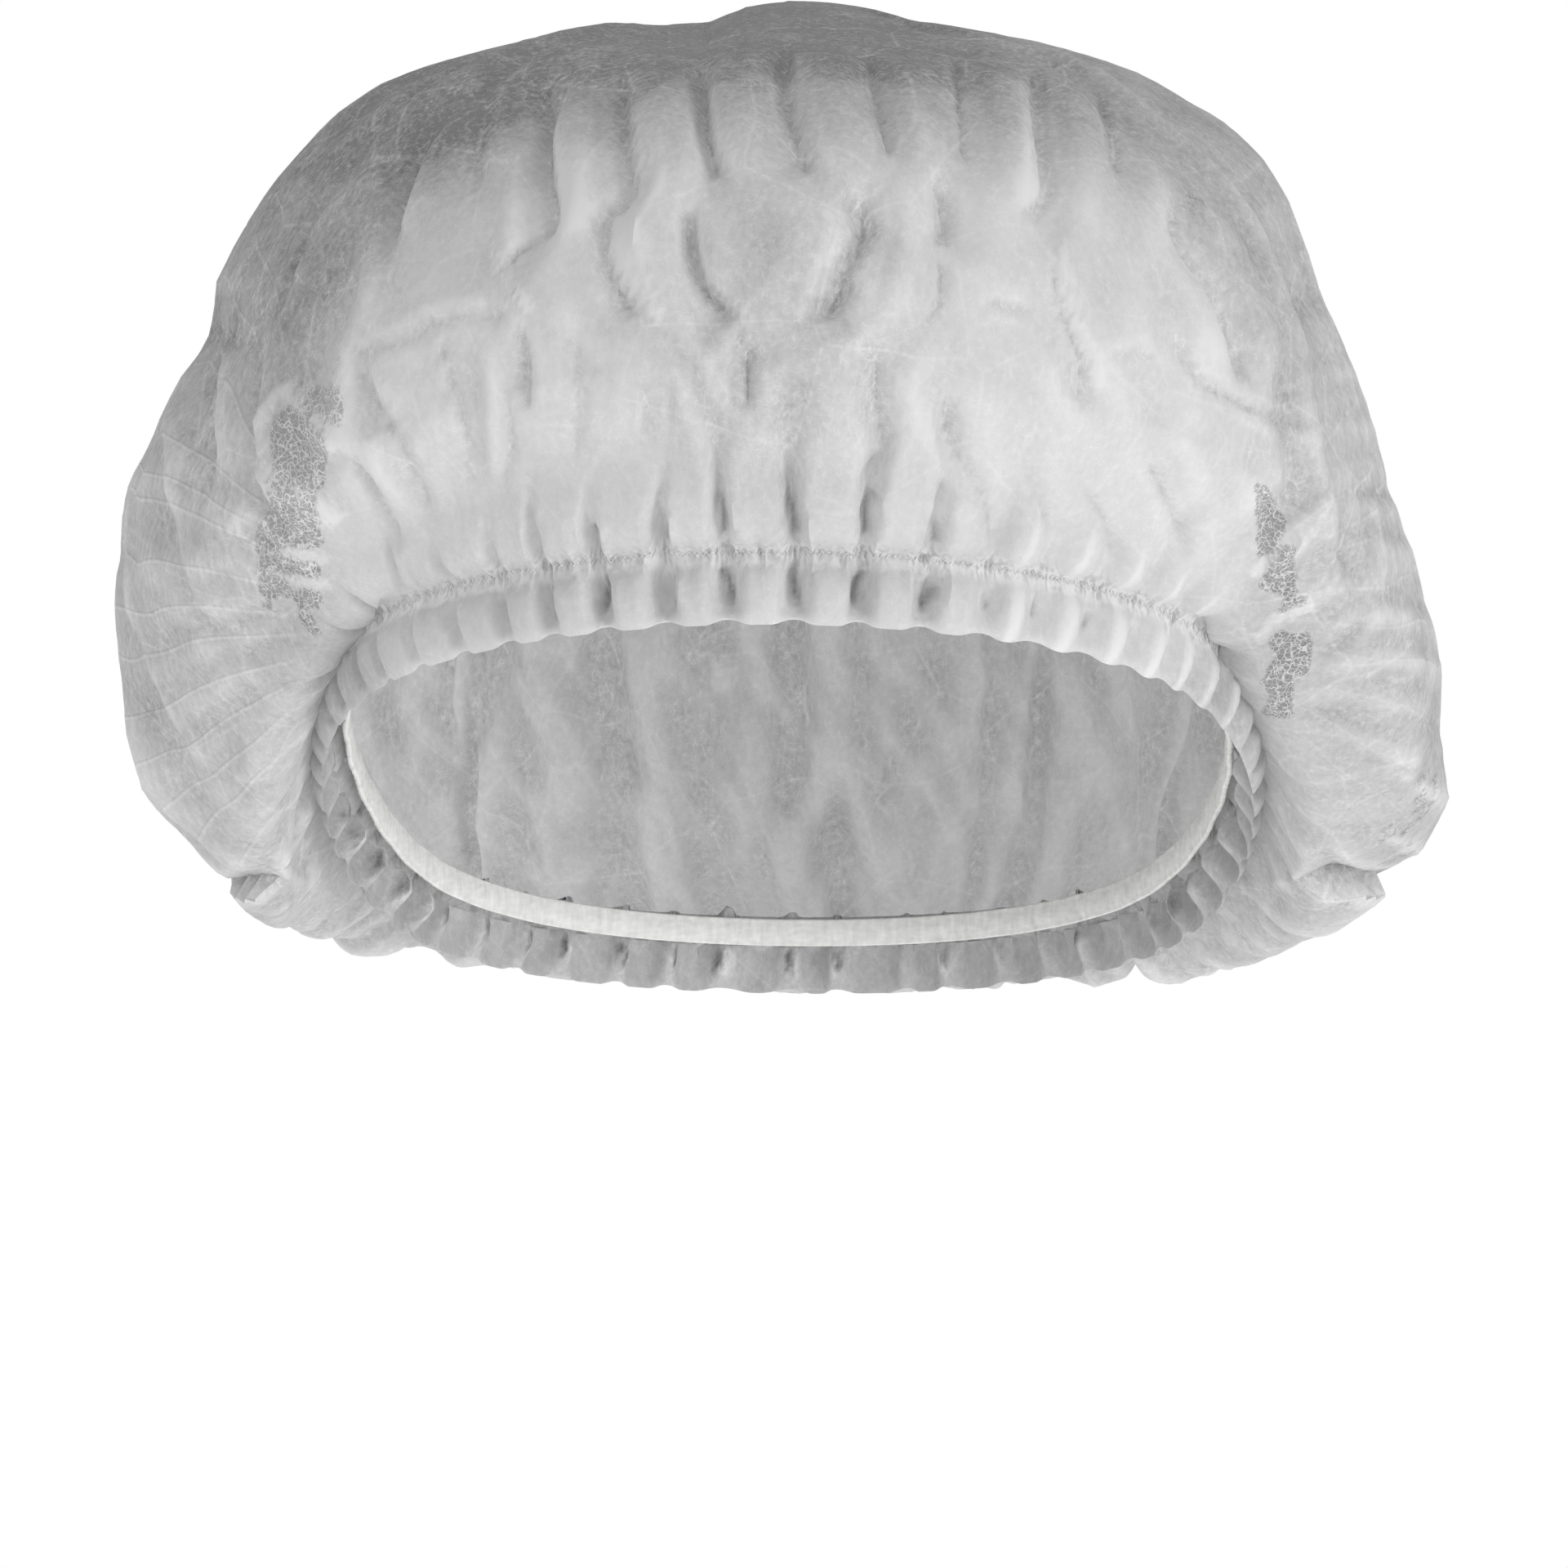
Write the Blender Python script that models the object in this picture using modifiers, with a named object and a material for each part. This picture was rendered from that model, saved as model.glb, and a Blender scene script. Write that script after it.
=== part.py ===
"""A disposable beret cap, as it is worn: one disc of nonwoven cloth, gathered on a narrow elastic tape.

Frame: origin at the centre of the elastic loop, where the head goes in. The face looks along -Y, +X is the
wearer's left and +Z is up. The loop lies low at the nape, and the cloth stands up over the forehead and bags
out over the ears and the nape. Tables are in millimetres and degrees; the mesh is in metres.
"""

import bisect
import math
from collections import namedtuple

import bmesh
import bpy
from mathutils import Vector

MM = 0.001
CAP_NAME = "beret_cap"

# The elastic loop, as a head holds it
LOOP_HALF_WIDTH = 76.0
LOOP_HALF_DEPTH = 96.0
TAPE_HEIGHT = 5.0
TAPE_THICKNESS = 1.0
TAPE_COLUMNS = 104

# The cloth
WALL = 1.0
GATHERS = 52  # pleats that the elastic draws the cloth into
FOLDS = GATHERS // 2  # two gathers run together into each fold above them
FINE_COLUMNS = 4 * GATHERS
FRILL_FLARE = 0.04  # how far the frill leans out, for each millimetre of its depth
SEAT_GAP = 0.35  # between the tape and the cloth's inner face
APEX = (0.0, 8.0, 119.5)
LIFT_REACH, LIFT_HEIGHT = 2.0, 4.0  # how the gathers rise off the tape before the cloth bags out

# The loop's height and half a meridian of the crown, in eight directions. The azimuth is 0 at the face and 90
# at the wearer's left. A reach is measured from the head's axis, and a height from the loop's centre.
Section = namedtuple(
    "Section",
    "azimuth loop_height sag_reach sag_height belly_reach belly_height waist_reach waist_height"
    " shoulder_reach shoulder_height crest_reach crest_height",
)
SECTIONS = (
    Section(0, 31, 101, 42, 106, 60, 103, 80, 90, 97, 60, 109),
    Section(45, 20, 98, 16, 109, 32, 106, 62, 90, 90, 58, 110),
    Section(90, -6, 90, -24, 110, -9, 99, 40, 79, 93, 51, 111),
    Section(135, -33, 104, -44, 124, -14, 119, 34, 98, 86, 58, 111),
    Section(180, -42, 112, -50, 134, -16, 131, 32, 108, 84, 62, 111),
    Section(225, -31, 104, -40, 124, -10, 119, 34, 98, 86, 58, 112),
    Section(270, -1, 90, -23, 111, 8, 104, 52, 84, 90, 50, 112),
    Section(315, 22, 98, 20, 110, 38, 105, 66, 89, 91, 56, 112),
)

# Dents that break the outline. Depth is inward; the spreads are half widths along the cloth.
Dent = namedtuple("Dent", "name azimuth height depth spread_around spread_up")
DENTS = (
    Dent("notch over the right ear", 272, 70, 6.0, 45, 9),
    Dent("hollow over the left temple", 60, 74, 3.0, 16, 14),
    Dent("nape crease", 176, 8, 4.0, 60, 8),
    Dent("hollow behind the left ear", 128, 30, 4.0, 18, 22),
    Dent("hollow behind the right ear", 234, 46, 4.0, 16, 20),
)

# Valleys that wander over the front panel, by hand, as (x, height) seen from the face.
Valley = namedtuple("Valley", "name depth half_width route")
VALLEYS = (
    Valley("left arm of the fork", 4.5, 4.5, ((-14, 84), (-15, 76), (-8, 67), (-6, 56), (-3, 48), (1, 38))),
    Valley("right arm of the fork", 4.5, 4.5, ((12, 87), (10, 78), (5, 68), (3, 58))),
    Valley("left inner pleat", 3.0, 4.0, ((-12, 104), (-10, 91))),
    Valley("middle pleat", 2.5, 4.0, ((0, 106), (3, 92))),
    Valley("right inner pleat", 3.0, 4.0, ((13, 104), (15, 94))),
    Valley("right pleat", 2.5, 4.0, ((26, 103), (27, 92), (24, 82), (22, 70))),
    Valley("left pleat", 2.5, 4.0, ((-36, 95), (-35, 81))),
    Valley("left lower pleat", 2.5, 4.5, ((-27, 86), (-28, 74), (-24, 68))),
    Valley("bent gather", 3.5, 4.0, ((13, 64), (14, 48), (10, 42), (11, 36))),
    Valley("left crease", 2.0, 4.0, ((-40, 66), (-39, 54), (-34, 44))),
    Valley("right crease", 2.5, 4.0, ((42, 80), (44, 62), (41, 50))),
)
FRONT_PANEL_DEPTH = -30.0  # the valleys lie on what is in front of this Y

# The shallow valley from front to back that parts the top into two puffs
TOP_VALLEY_X = -17.0
TOP_VALLEY_DEPTH = 3.5
TOP_VALLEY_HALF_WIDTH = 7.0
TOP_VALLEY_FROM, TOP_VALLEY_FULL = 88.0, 112.0  # heights at which it starts and is whole

# How far a gather or a fold stands out at each distance above (or below) the elastic
Rise = namedtuple("Rise", "distance gather fold")
RISES = (
    Rise(-11.5, 3.0, 0.0),
    Rise(-8.0, 4.2, 0.0),
    Rise(-4.0, 3.6, 0.0),
    Rise(0.0, 1.5, 0.0),
    Rise(4.0, 3.4, 0.0),
    Rise(9.0, 4.4, 0.4),
    Rise(16.0, 3.8, 1.4),
    Rise(24.0, 1.8, 3.0),
    Rise(34.0, 0.0, 4.0),
    Rise(90.0, 0.0, 3.2),
    Rise(140.0, 0.0, 2.2),
)
GATHER_FULLNESS = 0.8  # under 1 makes a gather's ridge full and its valley narrow
FOLD_DRIFT, DRIFT_WAVES = 0.7, 3  # how unevenly the folds are spaced, in radians, and how often round the cap
FOLD_RUN_OUT = 1.4  # how late the folds run out towards the apex
DENTS_FROM = 8.0  # distance above the elastic at which dents and valleys begin

# The mesh
NEAR_ROWS = (-11.5, -8.0, -4.0, 0.0, 4.0, 9.0, 16.0, 24.0)  # distances from the elastic, on the fine columns
FIRST_CROWN_ROW = 34.0
CROWN_ROWS = 8  # on every second column
CREST_ROWS = 2  # on every fourth column, up to the apex
CREST_START = 0.80  # share of the meridian at which the last thinning starts
CURVE_STEPS = 12  # between two stops of a meridian

MATERIALS = {
    "nonwoven": ((0.80, 0.80, 0.80), 0.85, 0.0),
    "elastic": ((0.86, 0.86, 0.85), 0.70, 0.0),
}


def catmull_rom(before, start, end, after, t):
    """A point of the smooth curve from start to end, which before and after steer."""
    return 0.5 * (
        2 * start
        + (end - before) * t
        + (2 * before - 5 * start + 4 * end - after) * t * t
        + (3 * start - before - 3 * end + after) * t * t * t
    )


def smooth_through(points):
    """A smooth curve through the points, which keeps them all; the outer two only steer its ends."""
    curve = []
    for stops in zip(points, points[1:], points[2:], points[3:]):
        curve += [catmull_rom(*stops, step / CURVE_STEPS) for step in range(CURVE_STEPS)]
    return curve + [points[-2].copy()]


def ellipse_angles(count):
    """Angles of points spread evenly along the loop, from the forehead round by the wearer's left."""
    fine = 3600
    angles = [2 * math.pi * i / fine for i in range(fine + 1)]
    lengths = [0.0]
    for a, b in zip(angles, angles[1:]):
        middle = (a + b) / 2
        speed = math.hypot(LOOP_HALF_WIDTH * math.cos(middle), LOOP_HALF_DEPTH * math.sin(middle))
        lengths.append(lengths[-1] + speed * (b - a))
    spread = []
    for i in range(count):
        wanted = lengths[-1] * i / count
        j = max(1, bisect.bisect_left(lengths, wanted))
        share = (wanted - lengths[j - 1]) / (lengths[j] - lengths[j - 1])
        spread.append(angles[j - 1] + share * (angles[j] - angles[j - 1]))
    return spread


def rise_at(distance):
    """The table of rises, read between its rows by straight lines."""
    for low, high in zip(RISES, RISES[1:]):
        if distance <= high.distance:
            share = max(0.0, (distance - low.distance) / (high.distance - low.distance))
            return Rise(*(a + share * (b - a) for a, b in zip(low, high)))
    return RISES[-1]


def section_at(azimuth):
    """The section in any direction, by a closed smooth curve through the table's rows."""
    count = len(SECTIONS)
    place = (azimuth % 360.0) * count / 360.0
    i, t = int(place) % count, place - int(place)
    rows = [SECTIONS[(i + k) % count] for k in (-1, 0, 1, 2)]
    return Section(*(catmull_rom(*cells, t) for cells in zip(*rows)))


def azimuth_of(point):
    return math.degrees(math.atan2(point.x, -point.y))


def loop_point(angle):
    """A point of the elastic loop, in millimetres."""
    plan = Vector((LOOP_HALF_WIDTH * math.sin(angle), -LOOP_HALF_DEPTH * math.cos(angle), 0.0))
    plan.z = section_at(azimuth_of(plan)).loop_height
    return plan


def loop_frame(angle):
    """The loop's outward direction in plan, and the direction up along the head, square to the loop."""
    foot = loop_point(angle)
    outward = Vector((foot.x / LOOP_HALF_WIDTH**2, foot.y / LOOP_HALF_DEPTH**2, 0.0)).normalized()
    tangent = (loop_point(angle + 0.01) - loop_point(angle - 0.01)).normalized()
    return outward, outward.cross(tangent).normalized()


def meridian(angle):
    """Points from the elastic up over the crown to the apex, at one place round the loop."""
    foot = loop_point(angle)
    outward = Vector((foot.x, foot.y, 0.0)).normalized()
    s = section_at(azimuth_of(foot))
    apex = Vector(APEX)

    def at(reach, height):
        return Vector((outward.x * reach, outward.y * reach, height))

    reach = Vector((foot.x, foot.y)).length
    lift = at(reach + LIFT_REACH, foot.z + LIFT_HEIGHT)
    crest = at(s.crest_reach, s.crest_height)
    beyond = Vector((2 * apex.x - crest.x, 2 * apex.y - crest.y, crest.z))
    stops = [
        2 * foot - lift,
        foot,
        lift,
        at(s.sag_reach, s.sag_height),
        at(s.belly_reach, s.belly_height),
        at(s.waist_reach, s.waist_height),
        at(s.shoulder_reach, s.shoulder_height),
        crest,
        apex,
        beyond,
    ]
    return smooth_through(stops)


def along(curve, distances):
    """Points at the given distances along a curve."""
    lengths = [0.0]
    for a, b in zip(curve, curve[1:]):
        lengths.append(lengths[-1] + (b - a).length)
    found = []
    for distance in distances:
        j = min(max(1, bisect.bisect_left(lengths, distance)), len(curve) - 1)
        share = (distance - lengths[j - 1]) / (lengths[j] - lengths[j - 1])
        found.append(curve[j - 1].lerp(curve[j], share))
    return found


def curve_length(curve):
    return sum((b - a).length for a, b in zip(curve, curve[1:]))


def row_distances(total):
    """Distances above the elastic of the crown's rows, up to but not at the apex."""
    crest = CREST_START * total
    crown = [FIRST_CROWN_ROW + (crest - FIRST_CROWN_ROW) * i / CROWN_ROWS for i in range(CROWN_ROWS + 1)]
    crests = [crest + (total - crest) * i / (CREST_ROWS + 1) for i in range(1, CREST_ROWS + 1)]
    return crown + crests


def base_column(angle):
    """The unfolded cloth at one place round the loop: points from the frill's edge to near the apex."""
    foot = loop_point(angle)
    outward, upward = loop_frame(angle)
    curve = meridian(angle)
    distances = list(NEAR_ROWS) + row_distances(curve_length(curve))
    below = [d for d in distances if d < 0]
    frill = [foot + upward * d - outward * (FRILL_FLARE * d) for d in below]
    shares = [d / distances[-1] for d in distances]
    return frill + along(curve, distances[len(below) :]), distances, shares


def distance_to_route(point, route):
    """Distance from a point to a route on the front panel, both seen from the face."""
    seen = Vector((point.x, point.z))
    gaps = []
    for start, end in zip(route, route[1:]):
        along_it = Vector(end) - Vector(start)
        t = max(0.0, min(1.0, (seen - Vector(start)).dot(along_it) / along_it.length_squared))
        gaps.append((Vector(start) + along_it * t - seen).length)
    return min(gaps)


def bell(x):
    return math.exp(-x * x)


def front_valleys(point):
    """How deep the front panel's own valleys are at a point."""
    if point.y > FRONT_PANEL_DEPTH:
        return 0.0
    return max(v.depth * bell(distance_to_route(point, v.route) / v.half_width) for v in VALLEYS)


def dents(point):
    """How deep the named dents are at a point."""
    depth = 0.0
    for dent in DENTS:
        turn = (azimuth_of(point) - dent.azimuth + 180) % 360 - 180
        rise = point.z - dent.height
        depth += dent.depth * bell(turn / dent.spread_around) * bell(rise / dent.spread_up)
    return depth


def top_valley(point):
    """How deep the valley that parts the top is at a point."""
    over = (point.z - TOP_VALLEY_FROM) / (TOP_VALLEY_FULL - TOP_VALLEY_FROM)
    across = (point.x - TOP_VALLEY_X) / TOP_VALLEY_HALF_WIDTH
    return max(0.0, min(1.0, over)) * TOP_VALLEY_DEPTH * bell(across)


def height_over_base(turn, distance, share, point):
    """How far the folded cloth stands out from its base surface. turn is 0 to 1 round the loop."""
    rise = rise_at(distance)
    gather = abs(math.sin(math.pi * GATHERS * turn)) ** GATHER_FULLNESS
    drift = FOLD_DRIFT * math.sin(2 * math.pi * DRIFT_WAVES * turn)
    fold = -0.5 * math.cos(2 * math.pi * FOLDS * turn + drift)
    stand = rise.gather * gather + rise.fold * fold * min(1.0, FOLD_RUN_OUT * (1.0 - share))
    if distance > DENTS_FROM:
        stand -= front_valleys(point) + dents(point) + top_valley(point)
    return stand


def crown_grid():
    """Rows of points of the folded cloth, from the frill's edge up, each with all the fine columns."""
    angles = ellipse_angles(FINE_COLUMNS)
    columns, distances, shares = zip(*(base_column(angle) for angle in angles))
    rows = len(columns[0])
    grid = []
    for r in range(rows):
        row = []
        for c in range(FINE_COLUMNS):
            point = columns[c][r]
            sideways = columns[(c + 1) % FINE_COLUMNS][r] - columns[c - 1][r]
            upward = columns[c][min(r + 1, rows - 1)] - columns[c][max(r - 1, 0)]
            normal = sideways.cross(upward).normalized()
            stand = height_over_base(c / FINE_COLUMNS, distances[c][r], shares[c][r], point)
            row.append(point + normal * stand)
        grid.append(row)
    return grid


def column_step(row):
    """Every which column a row keeps: all near the elastic, fewer towards the apex."""
    if row < len(NEAR_ROWS):
        return 1
    return 2 if row < len(NEAR_ROWS) + CROWN_ROWS + 1 else 4


def lay_rows(lower, upper):
    """Faces between two rows of vertices, where the upper has as many as the lower or half of them."""
    faces = []
    count, ratio = len(lower), len(lower) // len(upper)
    for i in range(len(upper)):
        j = (i + 1) % len(upper)
        if ratio == 1:
            faces.append((lower[i], lower[j], upper[j], upper[i]))
        else:
            a, b, c = lower[2 * i], lower[2 * i + 1], lower[(2 * i + 2) % count]
            faces += [(a, b, upper[i]), (b, upper[j], upper[i]), (b, c, upper[j])]
    return faces


def cloth_mesh():
    """The cloth's outer face as one open sheet, lofted row by row from the frill's edge to the apex."""
    mesh = bmesh.new()
    rows = []
    for r, row in enumerate(crown_grid()):
        rows.append([mesh.verts.new(point * MM) for point in row[:: column_step(r)]])
    for lower, upper in zip(rows, rows[1:]):
        for corners in lay_rows(lower, upper):
            mesh.faces.new(corners)
    apex = mesh.verts.new(Vector(APEX) * MM)
    last = rows[-1]
    for i in range(len(last)):
        mesh.faces.new((last[i], last[(i + 1) % len(last)], apex))
    return mesh


def tape_mesh():
    """The elastic tape's outer face: a band that follows the loop just inside the gathered cloth."""
    mesh = bmesh.new()
    inset = WALL + SEAT_GAP
    edges = {-1: [], 1: []}
    for angle in ellipse_angles(TAPE_COLUMNS):
        outward, upward = loop_frame(angle)
        for side in edges:
            point = loop_point(angle) - outward * inset + upward * (side * TAPE_HEIGHT / 2)
            edges[side].append(mesh.verts.new(point * MM))
    for corners in lay_rows(edges[-1], edges[1]):
        mesh.faces.new(corners)
    return mesh


def make_material(name):
    colour, roughness, metallic = MATERIALS[name]
    material = bpy.data.materials.new(name)
    material.use_nodes = True
    surface = material.node_tree.nodes["Principled BSDF"]
    surface.inputs["Base Color"].default_value = (*colour, 1.0)
    surface.inputs["Roughness"].default_value = roughness
    surface.inputs["Metallic"].default_value = metallic
    return material


def add_shell(name, mesh, thickness, material, collection):
    """An open sheet made a wall: its modelled face is the outer one, and the wall grows inwards."""
    bmesh.ops.recalc_face_normals(mesh, faces=mesh.faces)
    data = bpy.data.meshes.new(name)
    mesh.to_mesh(data)
    mesh.free()
    data.shade_smooth()
    data.materials.append(material)
    shell = bpy.data.objects.new(name, data)
    collection.objects.link(shell)
    wall = shell.modifiers.new("wall", "SOLIDIFY")
    wall.thickness = thickness
    wall.offset = -1.0
    wall.use_even_offset = False
    return shell


def build():
    for old in list(bpy.data.objects):
        bpy.data.objects.remove(old)
    collection = bpy.data.collections.new(CAP_NAME)
    bpy.context.scene.collection.children.link(collection)
    add_shell("crown_cloth", cloth_mesh(), WALL * MM, make_material("nonwoven"), collection)
    add_shell("elastic_band", tape_mesh(), TAPE_THICKNESS * MM, make_material("elastic"), collection)


build()
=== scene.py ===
# %% [markdown]
# # A disposable beret cap
#
# The cap is one disc of thin white nonwoven cloth with its edge turned in. A narrow elastic tape is sewn
# round it, a finger's width inside the edge. The elastic draws half a metre of disc down to a loop that
# fits over the ears, so the cloth gathers into pleats, bags out over the ears and stands up in a frill
# below the stitches.
#
# The solids of the part are the frame: they say where the elastic runs and how far the cloth reaches. This
# script gives them their looks. It follows the order in which the real thing is made: the cloth is cut,
# folded and gathered, then the elastic goes in, then the thread, and at the end everything gets its
# material.

# %% Load the frame
import math
import random
from collections import namedtuple

import bpy
import numpy as np
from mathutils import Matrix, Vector, noise
from mathutils.kdtree import KDTree


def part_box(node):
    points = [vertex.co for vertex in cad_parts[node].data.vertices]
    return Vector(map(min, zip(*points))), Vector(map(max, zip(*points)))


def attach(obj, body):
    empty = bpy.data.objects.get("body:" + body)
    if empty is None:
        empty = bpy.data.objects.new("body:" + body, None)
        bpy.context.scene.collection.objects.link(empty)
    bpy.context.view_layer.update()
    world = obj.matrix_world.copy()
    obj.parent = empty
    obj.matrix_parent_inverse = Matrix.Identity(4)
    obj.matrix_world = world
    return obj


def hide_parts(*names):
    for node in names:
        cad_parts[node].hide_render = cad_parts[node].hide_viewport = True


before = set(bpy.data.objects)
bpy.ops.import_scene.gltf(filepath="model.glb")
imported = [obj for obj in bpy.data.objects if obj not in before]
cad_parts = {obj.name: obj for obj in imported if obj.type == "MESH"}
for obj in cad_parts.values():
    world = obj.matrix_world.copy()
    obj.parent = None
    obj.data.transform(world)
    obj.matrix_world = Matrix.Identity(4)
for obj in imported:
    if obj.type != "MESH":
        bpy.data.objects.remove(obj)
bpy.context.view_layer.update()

MM = 0.001
tape_low, tape_high = (Vector(corner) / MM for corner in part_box("elastic_band"))
print("elastic", [round(x) for x in tape_high - tape_low], "mm, pieces of the frame:", sorted(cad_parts))

# %% [markdown]
# ## The camera first
#
# The camera comes before the cloth, because some folds are placed by where they show in the picture. A long
# lens from a little over a metre flattens the form as a product photograph does. The camera looks straight
# at the forehead from just above it. The picture is 1920 pixels square, and one of its pixels covers a
# known length at the elastic's centre, so a point of the cloth can be turned into a pixel and back.

# %% The camera, and where a point shows in the picture
PICTURE_SIZE = 1920
PIXEL = 0.137  # mm covered by a pixel at the elastic's centre
CENTRE_PIXEL = (965.0, 887.0)  # where the elastic's centre shows
CAMERA_DISTANCE = 1150.0  # mm from the elastic's centre, along the view
CAMERA_RISE = math.radians(3.0)
SENSOR = 36.0
CLIP_START = 0.05

view_forward = np.array((0.0, math.cos(CAMERA_RISE), -math.sin(CAMERA_RISE)))
view_right = np.array((1.0, 0.0, 0.0))
view_up = np.cross(view_right, view_forward)
camera_point = (
    -CAMERA_DISTANCE * view_forward
    + (PICTURE_SIZE / 2 - CENTRE_PIXEL[0]) * PIXEL * view_right
    - (PICTURE_SIZE / 2 - CENTRE_PIXEL[1]) * PIXEL * view_up
)


def pixels_of(points):
    """Where points, in millimetres, show in the picture."""
    away = points - camera_point
    scale = CAMERA_DISTANCE / (away @ view_forward) / PIXEL
    across, down = (away @ view_right) * scale, -(away @ view_up) * scale
    return np.stack((across, down), axis=-1) + PICTURE_SIZE / 2


lens = SENSOR * CAMERA_DISTANCE / (PIXEL * PICTURE_SIZE)
bpy.ops.object.camera_add(location=camera_point * MM, rotation=(math.pi / 2 - CAMERA_RISE, 0, 0))
camera = bpy.context.object
camera.name = "front_camera"
camera.data.lens = lens
camera.data.sensor_width = SENSOR
camera.data.clip_start = CLIP_START
bpy.context.scene.camera = camera
print(f"lens {lens:.0f} mm, the elastic's centre shows at", pixels_of(np.zeros((1, 3)))[0])

# %% [markdown]
# ## The cloth before it is folded
#
# A worn cap has a smooth overall form, and its folds lie over that form. So the form comes first, from a
# few sections: a half outline from the elastic to the crown's top, in eight directions. Between them a
# smooth curve through the numbers fills in all other directions. This is how a milliner reads a hat block,
# and it needs far fewer numbers than a sculpted surface. The elastic's own curve has the same size as the
# frame's tape.

# %% Sections of the crown
Section = namedtuple(
    "Section",
    "azimuth loop_height sag_reach sag_height belly_reach belly_height waist_reach waist_height"
    " shoulder_reach shoulder_height crest_reach crest_height",
)
SECTIONS = (
    Section(0, 31, 101, 42, 106, 60, 103, 80, 90, 97, 60, 109),
    Section(45, 20, 92, 29, 104, 41, 104, 64, 90, 90, 58, 110),
    Section(90, -6, 90, -24, 110, -9, 99, 40, 79, 93, 51, 111),
    Section(135, -33, 104, -44, 124, -14, 119, 34, 98, 86, 58, 111),
    Section(180, -42, 112, -50, 134, -16, 131, 32, 108, 84, 62, 111),
    Section(225, -31, 104, -40, 124, -10, 119, 34, 98, 86, 58, 112),
    Section(270, -1, 90, -23, 111, 8, 104, 52, 84, 90, 50, 112),
    Section(315, 22, 92, 31, 104, 44, 103, 67, 89, 91, 56, 112),
)
WALL_AND_GAP = 1.35  # from the frame's tape to the cloth's outer face
LOOP_HALF_WIDTH = (tape_high.x - tape_low.x) / 2 + WALL_AND_GAP
LOOP_HALF_DEPTH = (tape_high.y - tape_low.y) / 2 + WALL_AND_GAP
APEX = np.array((0.0, 8.0, 119.5))
LIFT_REACH, LIFT_HEIGHT = 2.0, 4.0  # how the cloth rises off the elastic before it bags out
CURVE_STEPS = 16


def smooth_step(low, high, value):
    t = np.clip((value - low) / (high - low), 0, 1)
    return t * t * (3 - 2 * t)


def catmull_rom(before, start, end, after, t):
    return 0.5 * (
        2 * start
        + (end - before) * t
        + (2 * before - 5 * start + 4 * end - after) * t * t
        + (3 * start - before - 3 * end + after) * t * t * t
    )


def sections_at(azimuths):
    """The table's columns at many azimuths."""
    table = np.array(SECTIONS, float)
    place = (azimuths % 360.0) * len(SECTIONS) / 360.0
    row = place.astype(int)
    t = (place - row)[:, None]
    near = [table[(row + k) % len(SECTIONS)] for k in (-1, 0, 1, 2)]
    return Section(*catmull_rom(*near, t).T)


def azimuths_of(points):
    """Degrees round the cap: 0 at the forehead, 90 at the wearer's left."""
    return np.degrees(np.arctan2(points[..., 0], -points[..., 1]))


def loop_points(angles):
    plan = np.stack((LOOP_HALF_WIDTH * np.sin(angles), -LOOP_HALF_DEPTH * np.cos(angles)), axis=-1)
    return np.column_stack((plan, sections_at(azimuths_of(plan)).loop_height))


def unit(vectors):
    return vectors / np.linalg.norm(vectors, axis=-1, keepdims=True)


def meridians(angles):
    """Curves from the elastic up to the apex, one for each angle: (steps, angles, 3)."""
    foot = loop_points(angles)
    outward = unit(foot * (1, 1, 0))
    s = sections_at(azimuths_of(foot))

    def at(reach, height):
        return outward * np.asarray(reach)[:, None] + np.outer(height, (0, 0, 1))

    lift = at(np.linalg.norm(foot[:, :2], axis=1) + LIFT_REACH, foot[:, 2] + LIFT_HEIGHT)
    crest = at(s.crest_reach, s.crest_height)
    beyond = crest * (-1, -1, 1) + APEX * (2, 2, 0)
    stops = [
        2 * foot - lift,
        foot,
        lift,
        at(s.sag_reach, s.sag_height),
        at(s.belly_reach, s.belly_height),
        at(s.waist_reach, s.waist_height),
        at(s.shoulder_reach, s.shoulder_height),
        crest,
        np.broadcast_to(APEX, foot.shape),
        beyond,
    ]
    curve = []
    for near in zip(stops, stops[1:], stops[2:], stops[3:]):
        curve += [catmull_rom(*near, step / CURVE_STEPS) for step in range(CURVE_STEPS)]
    return np.array(curve + [stops[-2]])


# %% [markdown]
# ## Places on the cloth
#
# A place on the cloth is a turn and a distance, as on a globe. The turn goes from 0 to 1 round the elastic,
# starting at the forehead. The distance is measured along the cloth, up from the elastic or, where it is
# negative, down into the frill. A table of the smooth form, read between its entries, says where a place
# lies.

# %% From a turn and a distance to a point
TURN_STEPS, RISE_STEPS = 1440, 400
FRILL_FLARE = 0.04  # how far the frill leans out, for each millimetre of its depth

fine_angles = np.linspace(0, 2 * math.pi, 5 * TURN_STEPS + 1)
fine_steps = np.linalg.norm(np.diff(loop_points(fine_angles), axis=0), axis=1)
fine_lengths = np.concatenate(((0.0,), np.cumsum(fine_steps)))
loop_length = fine_lengths[-1]
angles = np.interp(np.arange(TURN_STEPS) / TURN_STEPS * loop_length, fine_lengths, fine_angles)

curves = meridians(angles)
runs = np.cumsum(np.linalg.norm(np.diff(curves, axis=0), axis=2), axis=0)
lengths = np.concatenate((np.zeros((1, TURN_STEPS)), runs))
full_length = lengths[-1]
form = np.empty((RISE_STEPS + 1, TURN_STEPS, 3))
for c in range(TURN_STEPS):
    for axis in range(3):
        wanted = np.linspace(0, full_length[c], RISE_STEPS + 1)
        form[:, c, axis] = np.interp(wanted, lengths[:, c], curves[:, c, axis])

foot = loop_points(angles)
loop_outward = unit(foot / (LOOP_HALF_WIDTH**2, LOOP_HALF_DEPTH**2, 1) * (1, 1, 0))
tangent = unit(loop_points(angles + 0.01) - loop_points(angles - 0.01))
loop_up = unit(np.cross(loop_outward, tangent))


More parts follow.
